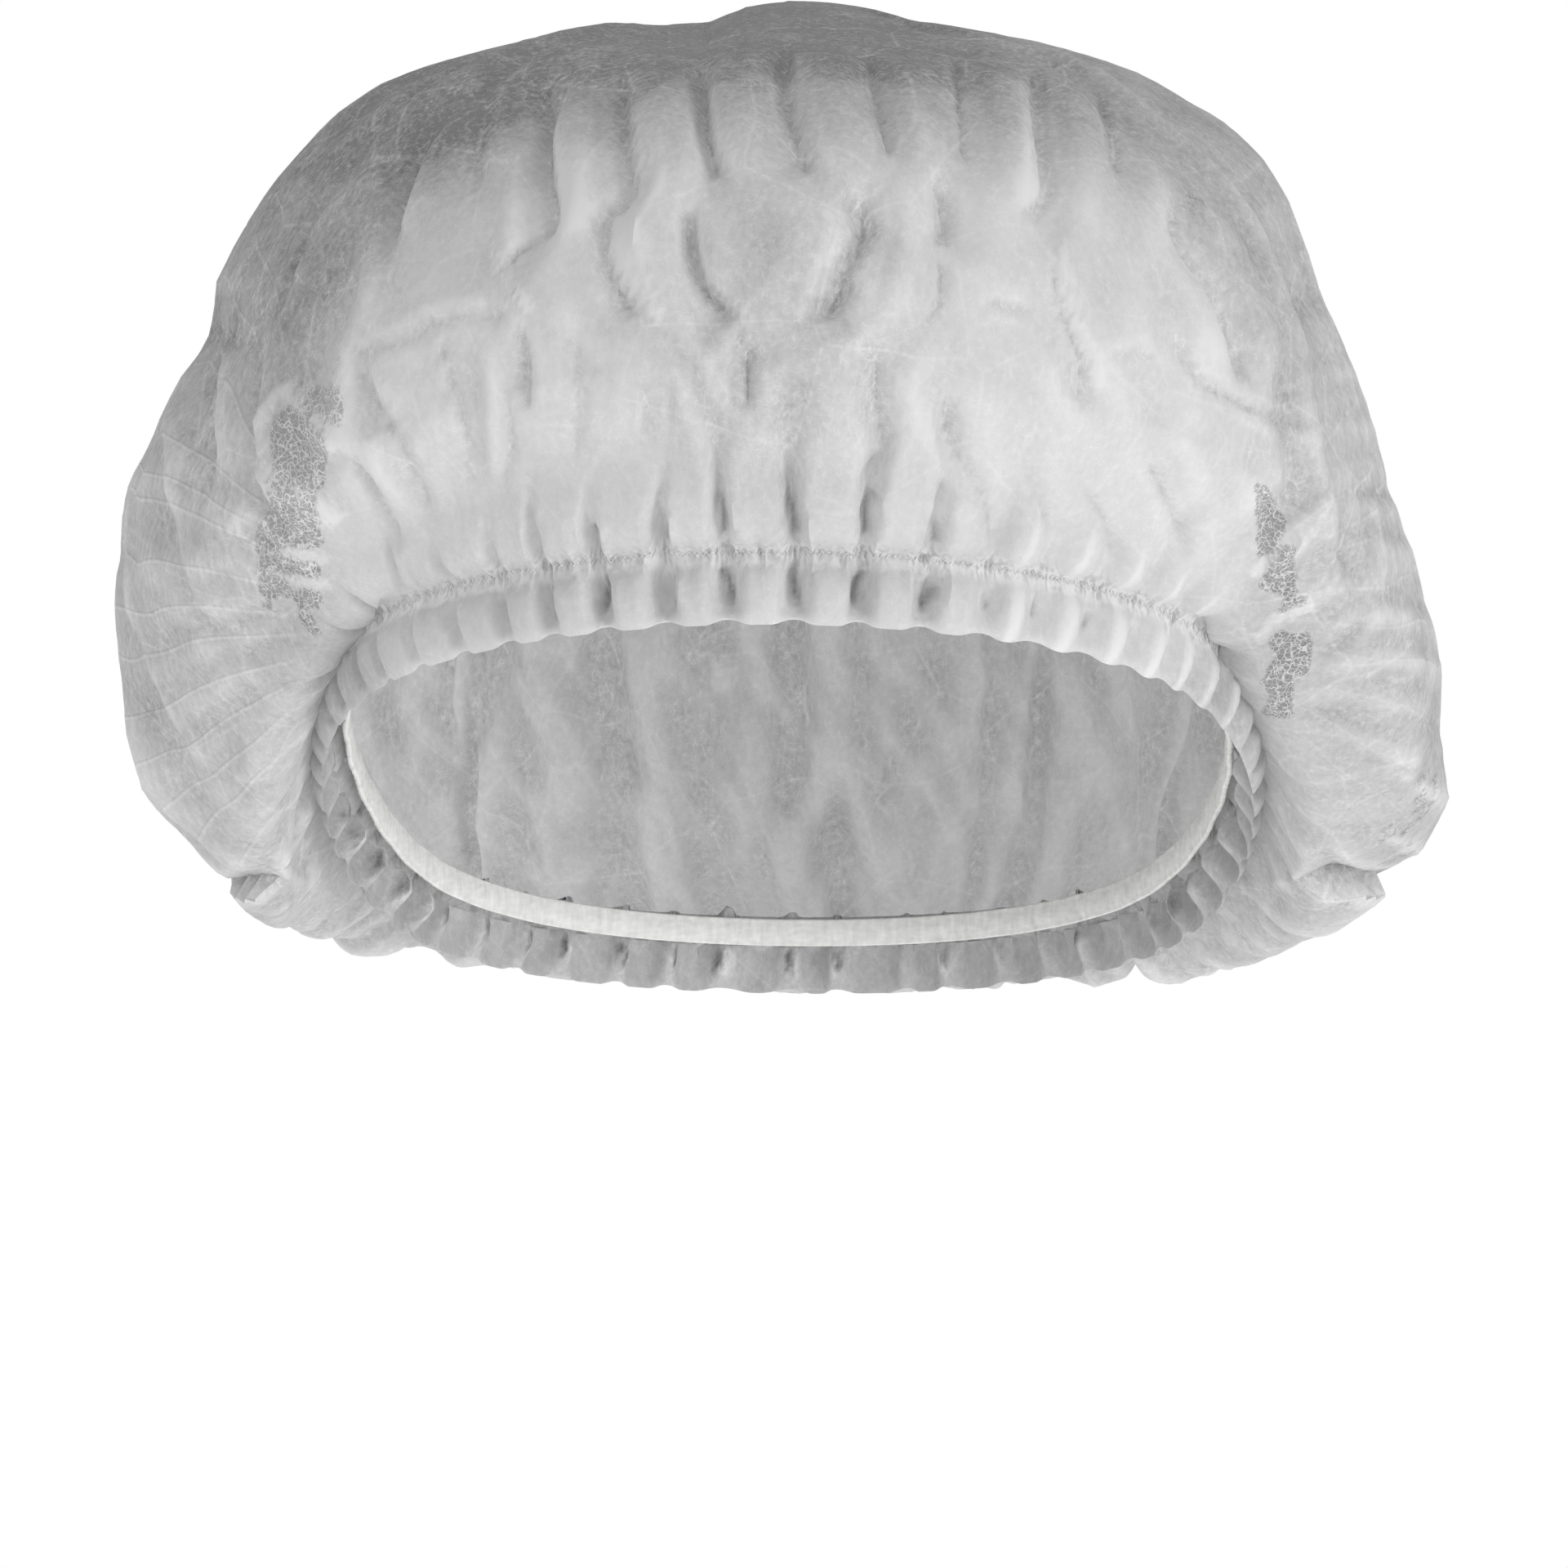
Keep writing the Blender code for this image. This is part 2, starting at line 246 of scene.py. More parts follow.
def at_turn(table, turn):
    """A table with an entry for each step of the turn, read between its entries."""
    place = turn % 1.0 * TURN_STEPS
    low = place.astype(int)
    t = place - low
    t = t[..., None] if table.ndim > 1 else t
    return table[low % TURN_STEPS] * (1 - t) + table[(low + 1) % TURN_STEPS] * t


def on_form(turn, distance):
    """Points of the smooth form at places of the cloth."""
    place = np.clip(distance / at_turn(full_length, turn), 0, 1) * RISE_STEPS
    row = np.minimum(place.astype(int), RISE_STEPS - 1)
    t = (place - row)[..., None]
    across = turn % 1.0 * TURN_STEPS
    column = across.astype(int)
    s = (across - column)[..., None]
    left, right = column % TURN_STEPS, (column + 1) % TURN_STEPS
    lower = form[row, left] * (1 - s) + form[row, right] * s
    upper = form[row + 1, left] * (1 - s) + form[row + 1, right] * s
    crown = lower * (1 - t) + upper * t
    below = np.minimum(distance, 0)[..., None]
    up, out = at_turn(loop_up, turn), at_turn(loop_outward, turn)
    return crown + up * below - out * FRILL_FLARE * below


quarter = TURN_STEPS // 4
cut_across = [full_length[i] + full_length[i + 2 * quarter] for i in (0, quarter)]
print(f"the elastic is {loop_length:.0f} mm round")
print("cloth over the crown, front to back and side to side:", [round(x) for x in cut_across], "mm")

# %% [markdown]
# ## Gathers
#
# Where the elastic pulls, the cloth has nearly three times the length that it has room for. It rises in
# rounded ridges with narrow valleys between them. At the stitches the thread holds ridge and valley close
# together. Above and below them the ridges fill out, so that each valley is a dark oval above and below the
# stitches. The frill's lower edge closes each oval again, because the hem runs on from ridge to ridge.
#
# The mesh has the same number of columns in each gather, and they lean and wander with it. That way a few
# columns are enough for steep walls. Near the elastic the walls also bulge over the valleys, as in an
# omega.

# %% Rows, columns and the lie of each valley
SEED = 11
rng = random.Random(SEED)
GATHERS = 56
COLUMNS_PER_GATHER = 12
COLUMNS = GATHERS * COLUMNS_PER_GATHER
HEM_ROWS = ((-3.0, 0.6), (-4.8, 0.6), (-6.6, 0.6), (-8.4, 0.6), (-9.9, 0.6), (-11.0, 0.5), (-11.5, 0.25))
FRILL_DEPTH, FRILL_ROWS = 11.5, 13
NEAR_DEPTH, NEAR_ROWS = 30.0, 30
CROWN_ROWS, ROW_CROWDING = 88, 1.3  # over 1: the rows lie closer together in the ear bags than at the top
HEM_COUNT = len(HEM_ROWS)
LEAN_HEIGHT = 25.0  # mm above the elastic over which a gather leans
LEAST_SPACING, SPREAD_ROUNDS = 0.62, 60  # of a gather: neighbouring valleys stay this far apart
FIRST_VALLEY = 0.08  # the middle valley lies this share of a gather off the forehead's middle
ROW_OFFSET = 0.3  # mm from the hem's edge to the frill's first row
BULGES = ((-11.5, 0.0), (-7, 0.035), (-2, 0.0), (1, 0.0), (5, 0.05), (14, 0.05), (28, 0.0))  # mm, of a gather

# Every valley is drawn at random between these. Depth and reach are shares of a full valley's.
ANY_DEPTH, ANY_REACH = (0.45, 0.85), (0.6, 1.5)
ANY_LEAN, ANY_SHIFT = (-0.02, 0.02), (-0.2, 0.2)  # of a gather: for each millimetre upwards, and in all
ANY_WIDTH = (0.24, 0.28, 0.34, 0.42)  # of a gather, to either side of the valley
ANY_TAPER = (0.5, 0.7, 1.0)  # share of its width that a valley keeps above the stitches
CALM_SHIFT = 0.25  # share of its shift that a valley at the forehead keeps

# Three stretches of the front have ridges of their own kind.
FULL_RIDGES, THIN_RIDGES, FINE_RIDGES = range(-5, 3), range(3, 10), range(-12, -5)
FINE_WIDTH, FINE_DEPTH = (0.16, 0.24), (0.3, 0.5)
FULL_WIDTH, FULL_TAPER = (0.27, 0.34), (0.45, 0.6)
THIN_WIDTH, THIN_TAPER, THIN_DEPTH, THIN_LEAN = (0.38, 0.46), 1.1, 0.5, 0.014

Gather = namedtuple("Gather", "number depth reach lean")
FRONT_GATHERS = (  # valleys counted from the forehead's middle; reach stretches the part above the stitches
    Gather(-4, 0.75, 0.9, -0.010),
    Gather(-3, 0.95, 0.7, 0.0),
    Gather(-2, 1.05, 0.9, 0.010),
    Gather(-1, 0.95, 1.4, -0.004),
    Gather(0, 1.15, 1.5, -0.006),
    Gather(1, 1.10, 1.5, 0.008),
    Gather(2, 0.95, 1.2, 0.006),
    Gather(3, 0.65, 1.5, 0.0),
    Gather(4, 0.40, 0.9, 0.015),
)
valley_depth = [rng.uniform(*ANY_DEPTH) for _ in range(GATHERS)]
valley_reach = [rng.uniform(*ANY_REACH) for _ in range(GATHERS)]
valley_lean = [rng.uniform(*ANY_LEAN) for _ in range(GATHERS)]
valley_shift = [rng.uniform(*ANY_SHIFT) for _ in range(GATHERS)]
valley_wide = [rng.choice(ANY_WIDTH) for _ in range(GATHERS)]
valley_taper = [rng.choice(ANY_TAPER) for _ in range(GATHERS)]
for gather in FRONT_GATHERS:
    i = gather.number % GATHERS
    valley_depth[i], valley_reach[i], valley_lean[i] = gather.depth, gather.reach, gather.lean
    valley_shift[i] *= CALM_SHIFT
for number in FINE_RIDGES:
    valley_wide[number % GATHERS] = rng.uniform(*FINE_WIDTH)
    valley_depth[number % GATHERS] = rng.uniform(*FINE_DEPTH)
for number in FULL_RIDGES:
    valley_wide[number % GATHERS] = rng.uniform(*FULL_WIDTH)
    valley_taper[number % GATHERS] = rng.uniform(*FULL_TAPER)
for number in THIN_RIDGES:
    valley_wide[number % GATHERS] = rng.uniform(*THIN_WIDTH)
    valley_taper[number % GATHERS] = THIN_TAPER
    valley_depth[number % GATHERS] = THIN_DEPTH
    valley_lean[number % GATHERS] = THIN_LEAN

aside = [valley_shift[i] + valley_lean[i] * LEAN_HEIGHT for i in range(GATHERS)]
for _ in range(SPREAD_ROUNDS):
    for i in range(GATHERS):
        lack = LEAST_SPACING - (1 + aside[(i + 1) % GATHERS] - aside[i])
        if lack > 0:
            aside[i] -= lack / 2
            aside[(i + 1) % GATHERS] += lack / 2
valley_lean = [(aside[i] - valley_shift[i]) / LEAN_HEIGHT for i in range(GATHERS)]
print(f"neighbouring valleys are {min(1 + aside[i] - aside[i - 1] for i in range(GATHERS)):.2f} gather apart")

number = np.arange(COLUMNS) // COLUMNS_PER_GATHER
t = np.arange(COLUMNS) % COLUMNS_PER_GATHER / COLUMNS_PER_GATHER
near_distances = np.concatenate(
    (
        [d for d, _ in HEM_ROWS],
        np.linspace(-FRILL_DEPTH, 0, FRILL_ROWS, endpoint=False) + ROW_OFFSET,
        np.linspace(0, NEAR_DEPTH, NEAR_ROWS, endpoint=False),
    )
)


def valley_place(numbers, rise):
    """Where valleys lie, in gathers from the forehead's middle, at a height above the elastic."""
    i = numbers % GATHERS
    shift, lean = np.array(valley_shift)[i], np.array(valley_lean)[i]
    return numbers + FIRST_VALLEY + shift + lean * rise


def turns_at(distance):
    """The turns of one row's columns."""
    rise = np.clip(distance, 0, LEAN_HEIGHT)
    bulge = np.interp(distance, *zip(*BULGES))
    t_moved = t - bulge * np.sin(2 * math.pi * t)
    before, after = valley_place(number, rise), valley_place(number + 1, rise)
    return (before * (1 - t_moved) + after * t_moved) / GATHERS


near_turns = np.array([turns_at(d) for d in near_distances])
crown_turns = turns_at(NEAR_DEPTH)
crown_lengths = at_turn(full_length, crown_turns) - NEAR_DEPTH
crown_shares = np.linspace(0, 1, CROWN_ROWS + 1)[:, None] ** ROW_CROWDING
turn = np.concatenate((near_turns, np.repeat(crown_turns[None], CROWN_ROWS + 1, axis=0)))
distance = np.concatenate(
    (np.repeat(near_distances[:, None], COLUMNS, axis=1), NEAR_DEPTH + crown_shares * crown_lengths)
)
inset = np.zeros_like(distance)
inset[:HEM_COUNT] = np.array([[i] for _, i in HEM_ROWS])
ROWS = len(distance)
print(f"{ROWS} rows of {COLUMNS} columns, a gather is {loop_length / GATHERS:.1f} mm wide")

# %% How far the gathers stand out
Stand = namedtuple("Stand", "distance ridge valley")  # the ridge's height, and the valley's depth under it
STANDS = (
    Stand(-11.5, 1.7, 0.5),
    Stand(-10.6, 2.4, 1.2),
    Stand(-9.2, 3.2, 4.0),
    Stand(-6.8, 3.8, 6.6),
    Stand(-4.6, 3.8, 6.0),
    Stand(-3.0, 3.1, 3.6),
    Stand(-1.2, 1.7, 1.5),
    Stand(1.2, 1.7, 1.5),
    Stand(3.0, 3.2, 3.8),
    Stand(4.8, 4.0, 5.4),
    Stand(7.0, 4.2, 5.0),
    Stand(10.0, 3.9, 2.8),
    Stand(14.0, 3.2, 1.0),
    Stand(20.0, 2.3, 0.3),
    Stand(36.0, 0.7, 0.0),
    Stand(50.0, 0.0, 0.0),
)
VALLEY_FLOOR = 0.05  # half the width of a valley's flat floor, of a gather
PINCH = ((-12, 1.1), (-4, 1.0), (-0.5, 0.6), (1.5, 0.5), (6, 1.0))  # the valleys are narrow at the stitches
TAPER_DISTANCES = (1.0, 12.0)  # mm above the elastic between which a valley reaches its upper width
HEM_SCALLOP = 0.07  # share of its depth by which the hem rises at a valley

nearest = np.where(t < 0.5, number, number + 1) % GATHERS
stand_distances, ridges, valleys = np.array(STANDS).T
narrowed = np.interp(distance, TAPER_DISTANCES, (0, 1))
wide = np.array(valley_wide)[nearest] * (1 + narrowed * (np.array(valley_taper)[nearest] - 1))
wide = wide * np.interp(distance, *zip(*PINCH))
valley_shape = smooth_step(wide, VALLEY_FLOOR, np.minimum(t, 1 - t))
stretched = np.where(distance > 0, distance / np.array(valley_reach)[nearest], distance)
ridge_height = np.interp(distance, stand_distances, ridges)
valley_drop = np.interp(stretched, stand_distances, valleys) * np.array(valley_depth)[nearest] * valley_shape
gathers = ridge_height - valley_drop

# Each gather has small wrinkles of its own, which are deepest at the stitches.
WRINKLE_HEIGHT, WRINKLE_REACH, WRINKLE_ROWS = 0.6, 7.0, 9  # mm, mm from the stitches, rows between two knots
WRINKLE_END = -11.0  # mm: the hem's own edge has none
knots = np.array([[rng.uniform(-1, 1) for _ in range(COLUMNS)] for _ in range(ROWS // WRINKLE_ROWS + 2)])
knots = knots - (np.roll(knots, 1, axis=1) + np.roll(knots, -1, axis=1)) / 4
knot_row = np.arange(ROWS) / WRINKLE_ROWS
low_knot = knot_row.astype(int)
share = (knot_row - low_knot)[:, None]
wrinkles = knots[low_knot] * (1 - share) + knots[low_knot + 1] * share
gathers += WRINKLE_HEIGHT * wrinkles * np.exp(-((distance / WRINKLE_REACH) ** 2)) * (distance > WRINKLE_END)

hem_lift = np.where(distance < 0, 1 - HEM_SCALLOP * valley_shape, 1.0)
base = on_form(turn, distance * hem_lift)
TINY = 1e-6  # mm: a direction shorter than this is none


def grid_normals(grid):
    """Outward directions of a grid of points that closes round the cap."""
    sideways = np.roll(grid, -1, axis=1) - np.roll(grid, 1, axis=1)
    upward = np.gradient(grid, axis=0)
    normal = np.cross(sideways, upward)
    size = np.linalg.norm(normal, axis=2, keepdims=True)
    return np.where(size > TINY, normal / np.maximum(size, TINY), (0, 0, 1))


def form_normals():
    """Outward directions of the smooth form. The hem's inner rows share the frill's."""
    normal = grid_normals(on_form(turn, distance))
    normal[: HEM_COUNT + 1] = normal[HEM_COUNT + 1]
    return normal


base_normal = form_normals()
print("gathers stand", gathers.min().round(1), "to", gathers.max().round(1), "mm off the smooth form")

# %% [markdown]
# ## Folds that run up the crown
#
# Between the gathers and the crown's top the cloth lies in long folds. Thin nonwoven is stiff like paper:
# it does not wave, it breaks into flat strips with a narrow crease between them. So the height of the folds
# is a polygon round the cap, with knots that wander as they climb. A row of the mesh reads its heights from
# it.

# %% Flat strips between wandering creases
STRIPS = 62
STRIP_HEIGHT = 2.8  # mm
STRIP_WANDER, STRIP_DRIFT = 0.9, 2.2  # of a strip: how far a crease sways, and how far it runs aside
STRIP_LEAST = 0.45  # of a strip: the least room between two creases
STRIP_RISE = (0.0, 14.0, 32.0, 120.0, 250.0)  # mm above the elastic
STRIP_SHARE = (0.0, 0.25, 1.0, 0.75, 0.3)
CALM_FRONT = 0.15  # share of the folds' height at the forehead, where the cloth is drawn smooth
CALM_BAGS = 0.5  # share of the folds' height that is missing in the ear bags, which are puffed out
FRONT_REACH, FRONT_FULL = 62.0, 0.6  # degrees to either side, and the share of them at which it is full front
BAG_STARTS, BAG_ENDS = (38.0, 58.0), (135.0, 112.0)  # degrees from the forehead's middle, faint and full
BACK_STARTS = (95.0, 135.0)  # degrees, faint and full
KNOT_SHIFT, KNOT_LEVEL = (-0.3, 0.3), (0.25, 1.0)  # of a strip, of the strips' height
LEVEL_MEAN, LEVEL_SWELL = 0.75, 0.75  # a crease's height changes as it climbs
PATH_SEED, PATH_SCALE = 31, 0.028  # waves for each row
SWELL_SEED, SWELL_SCALE = 431, 0.034
NOISE_GAIN, NOISE_STEP = 1.6, 7.31  # noise seldom passes 0.6, and numbers this far apart share nothing


def wander(rows, seed, scale):
    """A slow random curve over the rows, from -1 to 1."""
    where = [Vector((seed * NOISE_STEP, row * scale, 0.0)) for row in rows]
    return np.array([noise.noise(p) for p in where]) * NOISE_GAIN


azimuth = azimuths_of(on_form(turn, np.maximum(distance, 0)))
front_share = smooth_step(0, FRONT_FULL, np.clip(1 - np.abs(azimuth) / FRONT_REACH, 0, 1))
bag_share = smooth_step(*BAG_STARTS, np.abs(azimuth)) * smooth_step(*BAG_ENDS, np.abs(azimuth))
back_share = smooth_step(*BACK_STARTS, np.abs(azimuth))

knot_turns = np.array([(k + rng.uniform(*KNOT_SHIFT)) / STRIPS for k in range(STRIPS)])
knot_level = np.array([(1 if k % 2 else -1) * rng.uniform(*KNOT_LEVEL) for k in range(STRIPS)])
strips = np.zeros_like(distance)
row_numbers = np.arange(ROWS)
knot_paths = np.array([wander(row_numbers, PATH_SEED + k, PATH_SCALE) for k in range(STRIPS)])
knot_swell = np.array([wander(row_numbers, SWELL_SEED + k, SWELL_SCALE) for k in range(STRIPS)])
knot_drift = np.array([rng.uniform(-STRIP_DRIFT, STRIP_DRIFT) for _ in range(STRIPS)])
for row in range(HEM_COUNT + FRILL_ROWS, ROWS):
    risen = (row - HEM_COUNT - FRILL_ROWS) / ROWS
    places = (knot_turns + (knot_paths[:, row] * STRIP_WANDER + knot_drift * risen) / STRIPS) % 1.0
    levels = knot_level * (LEVEL_MEAN + LEVEL_SWELL * knot_swell[:, row])
    order = np.argsort(places)
    spread = np.arange(STRIPS) * STRIP_LEAST / STRIPS
    places = np.maximum.accumulate(places[order] - spread) + spread
    strips[row] = np.interp(turn[row] % 1.0, places, levels[order], period=1.0)
strips *= np.interp(distance, STRIP_RISE, STRIP_SHARE)
strips *= STRIP_HEIGHT * (1 - (1 - CALM_FRONT) * front_share) * (1 - CALM_BAGS * bag_share)
print("strips stand", strips.min().round(1), "to", strips.max().round(1), "mm")

# %% [markdown]
# ## The folds that show in the picture
#
# On the forehead side the picture tells where each fold lies. Each row below is one fold: its route, in the
# picture's pixels, how deep it is, and how far it spreads to either side. A valley with a short left side
# and a long right side looks like a ledge, which is how cloth looks when one layer leans over the next. A
# thin crease is the same thing with two short sides.

# %% The folds' table
Fold = namedtuple("Fold", "height left right taper route")  # mm, px, px, px; a valley's height is negative
FOLDS = (
    # short ones that run over the top edge
    Fold(-3.2, 30, 9, 25, ((858, 60), (865, 138), (875, 180), (885, 222))),
    Fold(-2.8, 28, 9, 22, ((966, 60), (969, 119), (982, 165), (994, 216))),
    Fold(-2.0, 14, 7, 20, ((1068, 60), (1075, 115), (1084, 155), (1090, 195))),
    Fold(-1.8, 12, 8, 20, ((1172, 60), (1177, 127), (1180, 165), (1183, 205))),
    Fold(-2.2, 8, 30, 20, ((1268, 80), (1269, 142), (1276, 200), (1277, 235), (1250, 268))),
    Fold(0.5, 20, 20, 30, ((1244, 90), (1250, 150), (1252, 210), (1240, 250))),
    Fold(-1.6, 16, 10, 20, ((1352, 110), (1362, 160), (1372, 222))),
    Fold(-1.4, 20, 10, 20, ((605, 110), (592, 170), (586, 240))),
    Fold(-3.2, 34, 8, 12, ((668, 90), (673, 204), (680, 245), (683, 283))),
    Fold(-1.5, 12, 8, 20, ((683, 283), (640, 303), (618, 335))),
    Fold(-2.0, 12, 8, 20, ((520, 170), (500, 220), (486, 262), (492, 300))),
    # the long forked folds
    Fold(-2.8, 30, 8, 24, ((765, 90), (769, 165), (777, 235), (746, 262), (744, 296), (748, 330),
                           (780, 392))),
    Fold(1.1, 14, 14, 24, ((800, 150), (803, 230), (779, 270), (776, 310), (786, 350), (812, 400))),
    Fold(-3.4, 26, 22, 24, ((842, 255), (846, 312), (865, 358), (903, 396))),
    Fold(-2.0, 12, 8, 24, ((903, 396), (915, 425), (919, 508))),
    Fold(-1.5, 12, 10, 25, ((935, 535), (945, 560), (970, 602))),
    Fold(-3.6, 26, 22, 24, ((1050, 232), (1058, 281), (1038, 327), (1027, 365), (1000, 396))),
    Fold(0.4, 12, 16, 24, ((1010, 240), (1015, 290), (998, 335), (985, 372))),
    Fold(-2.6, 14, 22, 20, ((1146, 212), (1158, 262), (1150, 304))),
    Fold(-1.2, 12, 12, 30, ((1150, 304), (1152, 362), (1132, 402))),
    Fold(-1.9, 16, 10, 25, ((1066, 410), (1072, 460), (1075, 508), (1084, 552), (1052, 592), (1058, 646))),
    Fold(-1.6, 8, 20, 25, ((1158, 478), (1157, 531), (1176, 566), (1199, 615), (1211, 668))),
    Fold(0.9, 12, 10, 25, ((1136, 490), (1138, 540), (1152, 580), (1178, 628))),
    Fold(-1.9, 22, 8, 25, ((640, 392), (646, 440), (652, 505))),
    Fold(-1.2, 12, 12, 40, ((783, 450), (798, 545))),
    Fold(-0.9, 12, 12, 30, ((700, 400), (712, 480), (706, 560))),
    # the left shoulder, where the upper lobe lies over the lower one
    Fold(-0.8, 12, 22, 30, ((430, 446), (455, 432), (495, 421), (530, 399), (575, 390), (640, 388))),
    Fold(0.2, 18, 16, 30, ((436, 424), (470, 408), (512, 386), (560, 372), (620, 366))),
    Fold(-1.1, 14, 8, 25, ((440, 445), (478, 510), (510, 565), (538, 620))),
    Fold(0.6, 8, 10, 25, ((454, 440), (493, 505), (524, 560), (552, 612))),
    Fold(-1.3, 8, 12, 20, ((535, 410), (556, 480), (571, 535), (582, 585))),
    Fold(1.2, 8, 12, 20, ((598, 300), (622, 338), (658, 388))),
    Fold(-1.6, 12, 8, 30, ((430, 550), (470, 610), (510, 660))),
    Fold(-0.5, 12, 10, 20, ((618, 460), (628, 530), (622, 590))),
    # the right shoulder
    Fold(-1.4, 12, 7, 25, ((1285, 320), (1306, 390), (1325, 437), (1327, 475), (1320, 510))),
    Fold(0.9, 9, 10, 25, ((1300, 290), (1298, 350), (1312, 395), (1336, 440), (1342, 490))),
    Fold(-1.3, 9, 12, 20, ((1205, 372), (1235, 374), (1270, 388))),
    Fold(-1.0, 10, 12, 15, ((1355, 437), (1385, 436), (1415, 443))),
    Fold(-1.2, 10, 18, 30, ((1440, 395), (1450, 450), (1485, 482), (1540, 508), (1605, 532))),
    Fold(-1.6, 10, 16, 25, ((1400, 560), (1430, 620), (1452, 680))),
    Fold(-1.3, 9, 14, 25, ((1320, 580), (1345, 640), (1362, 690))),
    Fold(-1.3, 8, 16, 25, ((1253, 560), (1268, 620), (1282, 655))),
    Fold(-1.8, 12, 18, 25, ((1430, 250), (1448, 300), (1480, 340), (1505, 400), (1520, 470))),
    Fold(-1.3, 14, 10, 25, ((1545, 600), (1552, 650), (1547, 700))),
    Fold(1.2, 9, 9, 15, ((1550, 687), (1577, 655), (1622, 594))),
    Fold(-1.6, 9, 9, 15, ((1633, 669), (1648, 690), (1663, 717))),
    # the fans of folds in the ear bags
    Fold(0.35, 18, 28, 30, ((398, 668), (330, 640), (250, 612), (172, 600))),
    Fold(0.3, 16, 24, 30, ((396, 700), (320, 690), (240, 684), (160, 690))),
    Fold(0.35, 16, 28, 30, ((394, 728), (320, 730), (240, 742), (158, 760))),
    Fold(0.3, 16, 24, 30, ((392, 752), (320, 770), (240, 796), (164, 826))),
    Fold(0.3, 16, 24, 30, ((392, 782), (320, 812), (250, 850), (180, 892))),
    Fold(0.25, 16, 24, 30, ((390, 812), (330, 855), (270, 900), (210, 950))),
    Fold(0.3, 16, 24, 30, ((388, 845), (340, 900), (290, 950), (240, 1000))),
    Fold(-0.35, 20, 24, 30, ((396, 684), (320, 666), (240, 646), (166, 642))),
    Fold(-0.35, 20, 24, 30, ((394, 740), (320, 750), (240, 768), (160, 792))),
    Fold(-0.35, 20, 24, 30, ((392, 766), (320, 790), (250, 822), (174, 858))),
    Fold(-0.3, 20, 24, 30, ((390, 798), (330, 834), (262, 876), (196, 922))),
    Fold(0.3, 18, 24, 30, ((1552, 742), (1610, 722), (1670, 704), (1728, 690))),
    Fold(0.3, 18, 24, 30, ((1556, 772), (1620, 760), (1680, 752), (1746, 748))),
    Fold(0.3, 18, 24, 30, ((1562, 806), (1625, 804), (1690, 806), (1752, 812))),
    Fold(0.3, 18, 24, 30, ((1566, 838), (1630, 846), (1690, 858), (1752, 874))),
    Fold(0.3, 18, 24, 30, ((1568, 866), (1630, 888), (1690, 912), (1748, 938))),
    Fold(-0.35, 20, 24, 30, ((1556, 758), (1620, 744), (1680, 730), (1738, 720))),
    Fold(-0.3, 20, 24, 30, ((1562, 790), (1625, 784), (1690, 780), (1752, 780))),
    Fold(-0.3, 20, 24, 30, ((1566, 822), (1630, 826), (1690, 834), (1752, 844))),
    Fold(-0.3, 20, 24, 30, ((1570, 852), (1630, 868), (1690, 886), (1750, 908))),
    # single folds in the ear bags
    Fold(1.5, 13, 13, 15, ((369, 492), (395, 525), (420, 555))),
    Fold(1.4, 12, 12, 15, ((323, 571), (360, 595), (392, 617), (412, 637))),
    Fold(1.2, 12, 12, 15, ((312, 677), (350, 677), (394, 683))),
    Fold(1.1, 12, 12, 15, ((305, 704), (350, 706), (394, 716))),
    Fold(1.4, 18, 18, 20, ((277, 456), (276, 522), (286, 582))),
    Fold(1.4, 15, 15, 20, ((364, 464), (345, 500), (325, 535))),
    Fold(1.3, 18, 18, 20, ((211, 497), (234, 563), (248, 592))),
    Fold(1.2, 13, 13, 15, ((277, 617), (290, 637), (303, 660))),
    Fold(-1.8, 21, 15, 25, ((250, 440), (256, 500), (262, 560), (255, 620))),
)
FACING = (-0.12, 0.22)  # how much a place faces the camera where a fold of the table begins and is full
FARTHEST_BACK = 60.0  # mm: behind this the cloth carries no fold of the table
ROUTE_STEP = 5.0  # px
SOFT_FALL = 1.1  # how fast a fold's soft part falls off to its sides
FLANK_REACH = 1.7  # sides' lengths from a fold's route to the foot of its straight flank
FOLD_REACH = 2.6  # sides' lengths from a fold's route over which it is worked out
BLUNT_END = -2.0  # px: under 0, so that a trace of the fold is left at its ends
NARROW = 0.42  # how much narrower a fold's crease is than the fold

view_away = unit(base - camera_point)
facing = -(base_normal * view_away).sum(axis=2)
pixels = pixels_of(base)
facing_rows = np.arange(ROWS)[:, None] > HEM_COUNT + FRILL_ROWS
seen_from_front = facing_rows & (facing > FACING[0]) & (base[..., 1] < FARTHEST_BACK)
turned_away = smooth_step(*FACING, facing)


def smooth_route(route):
    """A route through the given pixels, with a point about every few pixels."""
    route = np.array(route, float)
    if len(route) == 2:
        route = np.array((route[0], route.mean(axis=0), route[1]))
    padded = np.concatenate((2 * route[:1] - route[1:2], route, 2 * route[-1:] - route[-2:-1]))
    points = []
    for stops in zip(padded, padded[1:], padded[2:], padded[3:]):
        count = max(2, round(np.linalg.norm(stops[2] - stops[1]) / ROUTE_STEP))
        points += [catmull_rom(*stops, k / count) for k in range(count)]
    return np.array(points + [route[-1]])


def beside(route, places):
    """For each place: how far it is to the right of a route, and how far from the route's nearer end."""
    points = smooth_route(route)
    run = np.concatenate(((0.0,), np.cumsum(np.linalg.norm(np.diff(points, axis=0), axis=1))))
    away = places[:, None, :] - points[None]
    gap = np.hypot(away[..., 0], away[..., 1])
    best = gap.argmin(axis=1)
    ahead = unit(np.gradient(points, axis=0))[best]
    off = np.take_along_axis(away, best[:, None, None], axis=1)[:, 0]
    side = np.sign(ahead[:, 1] * off[:, 0] - ahead[:, 0] * off[:, 1])
    from_end = np.minimum(run[best], run[-1] - run[best])
    return side * gap.min(axis=1), from_end


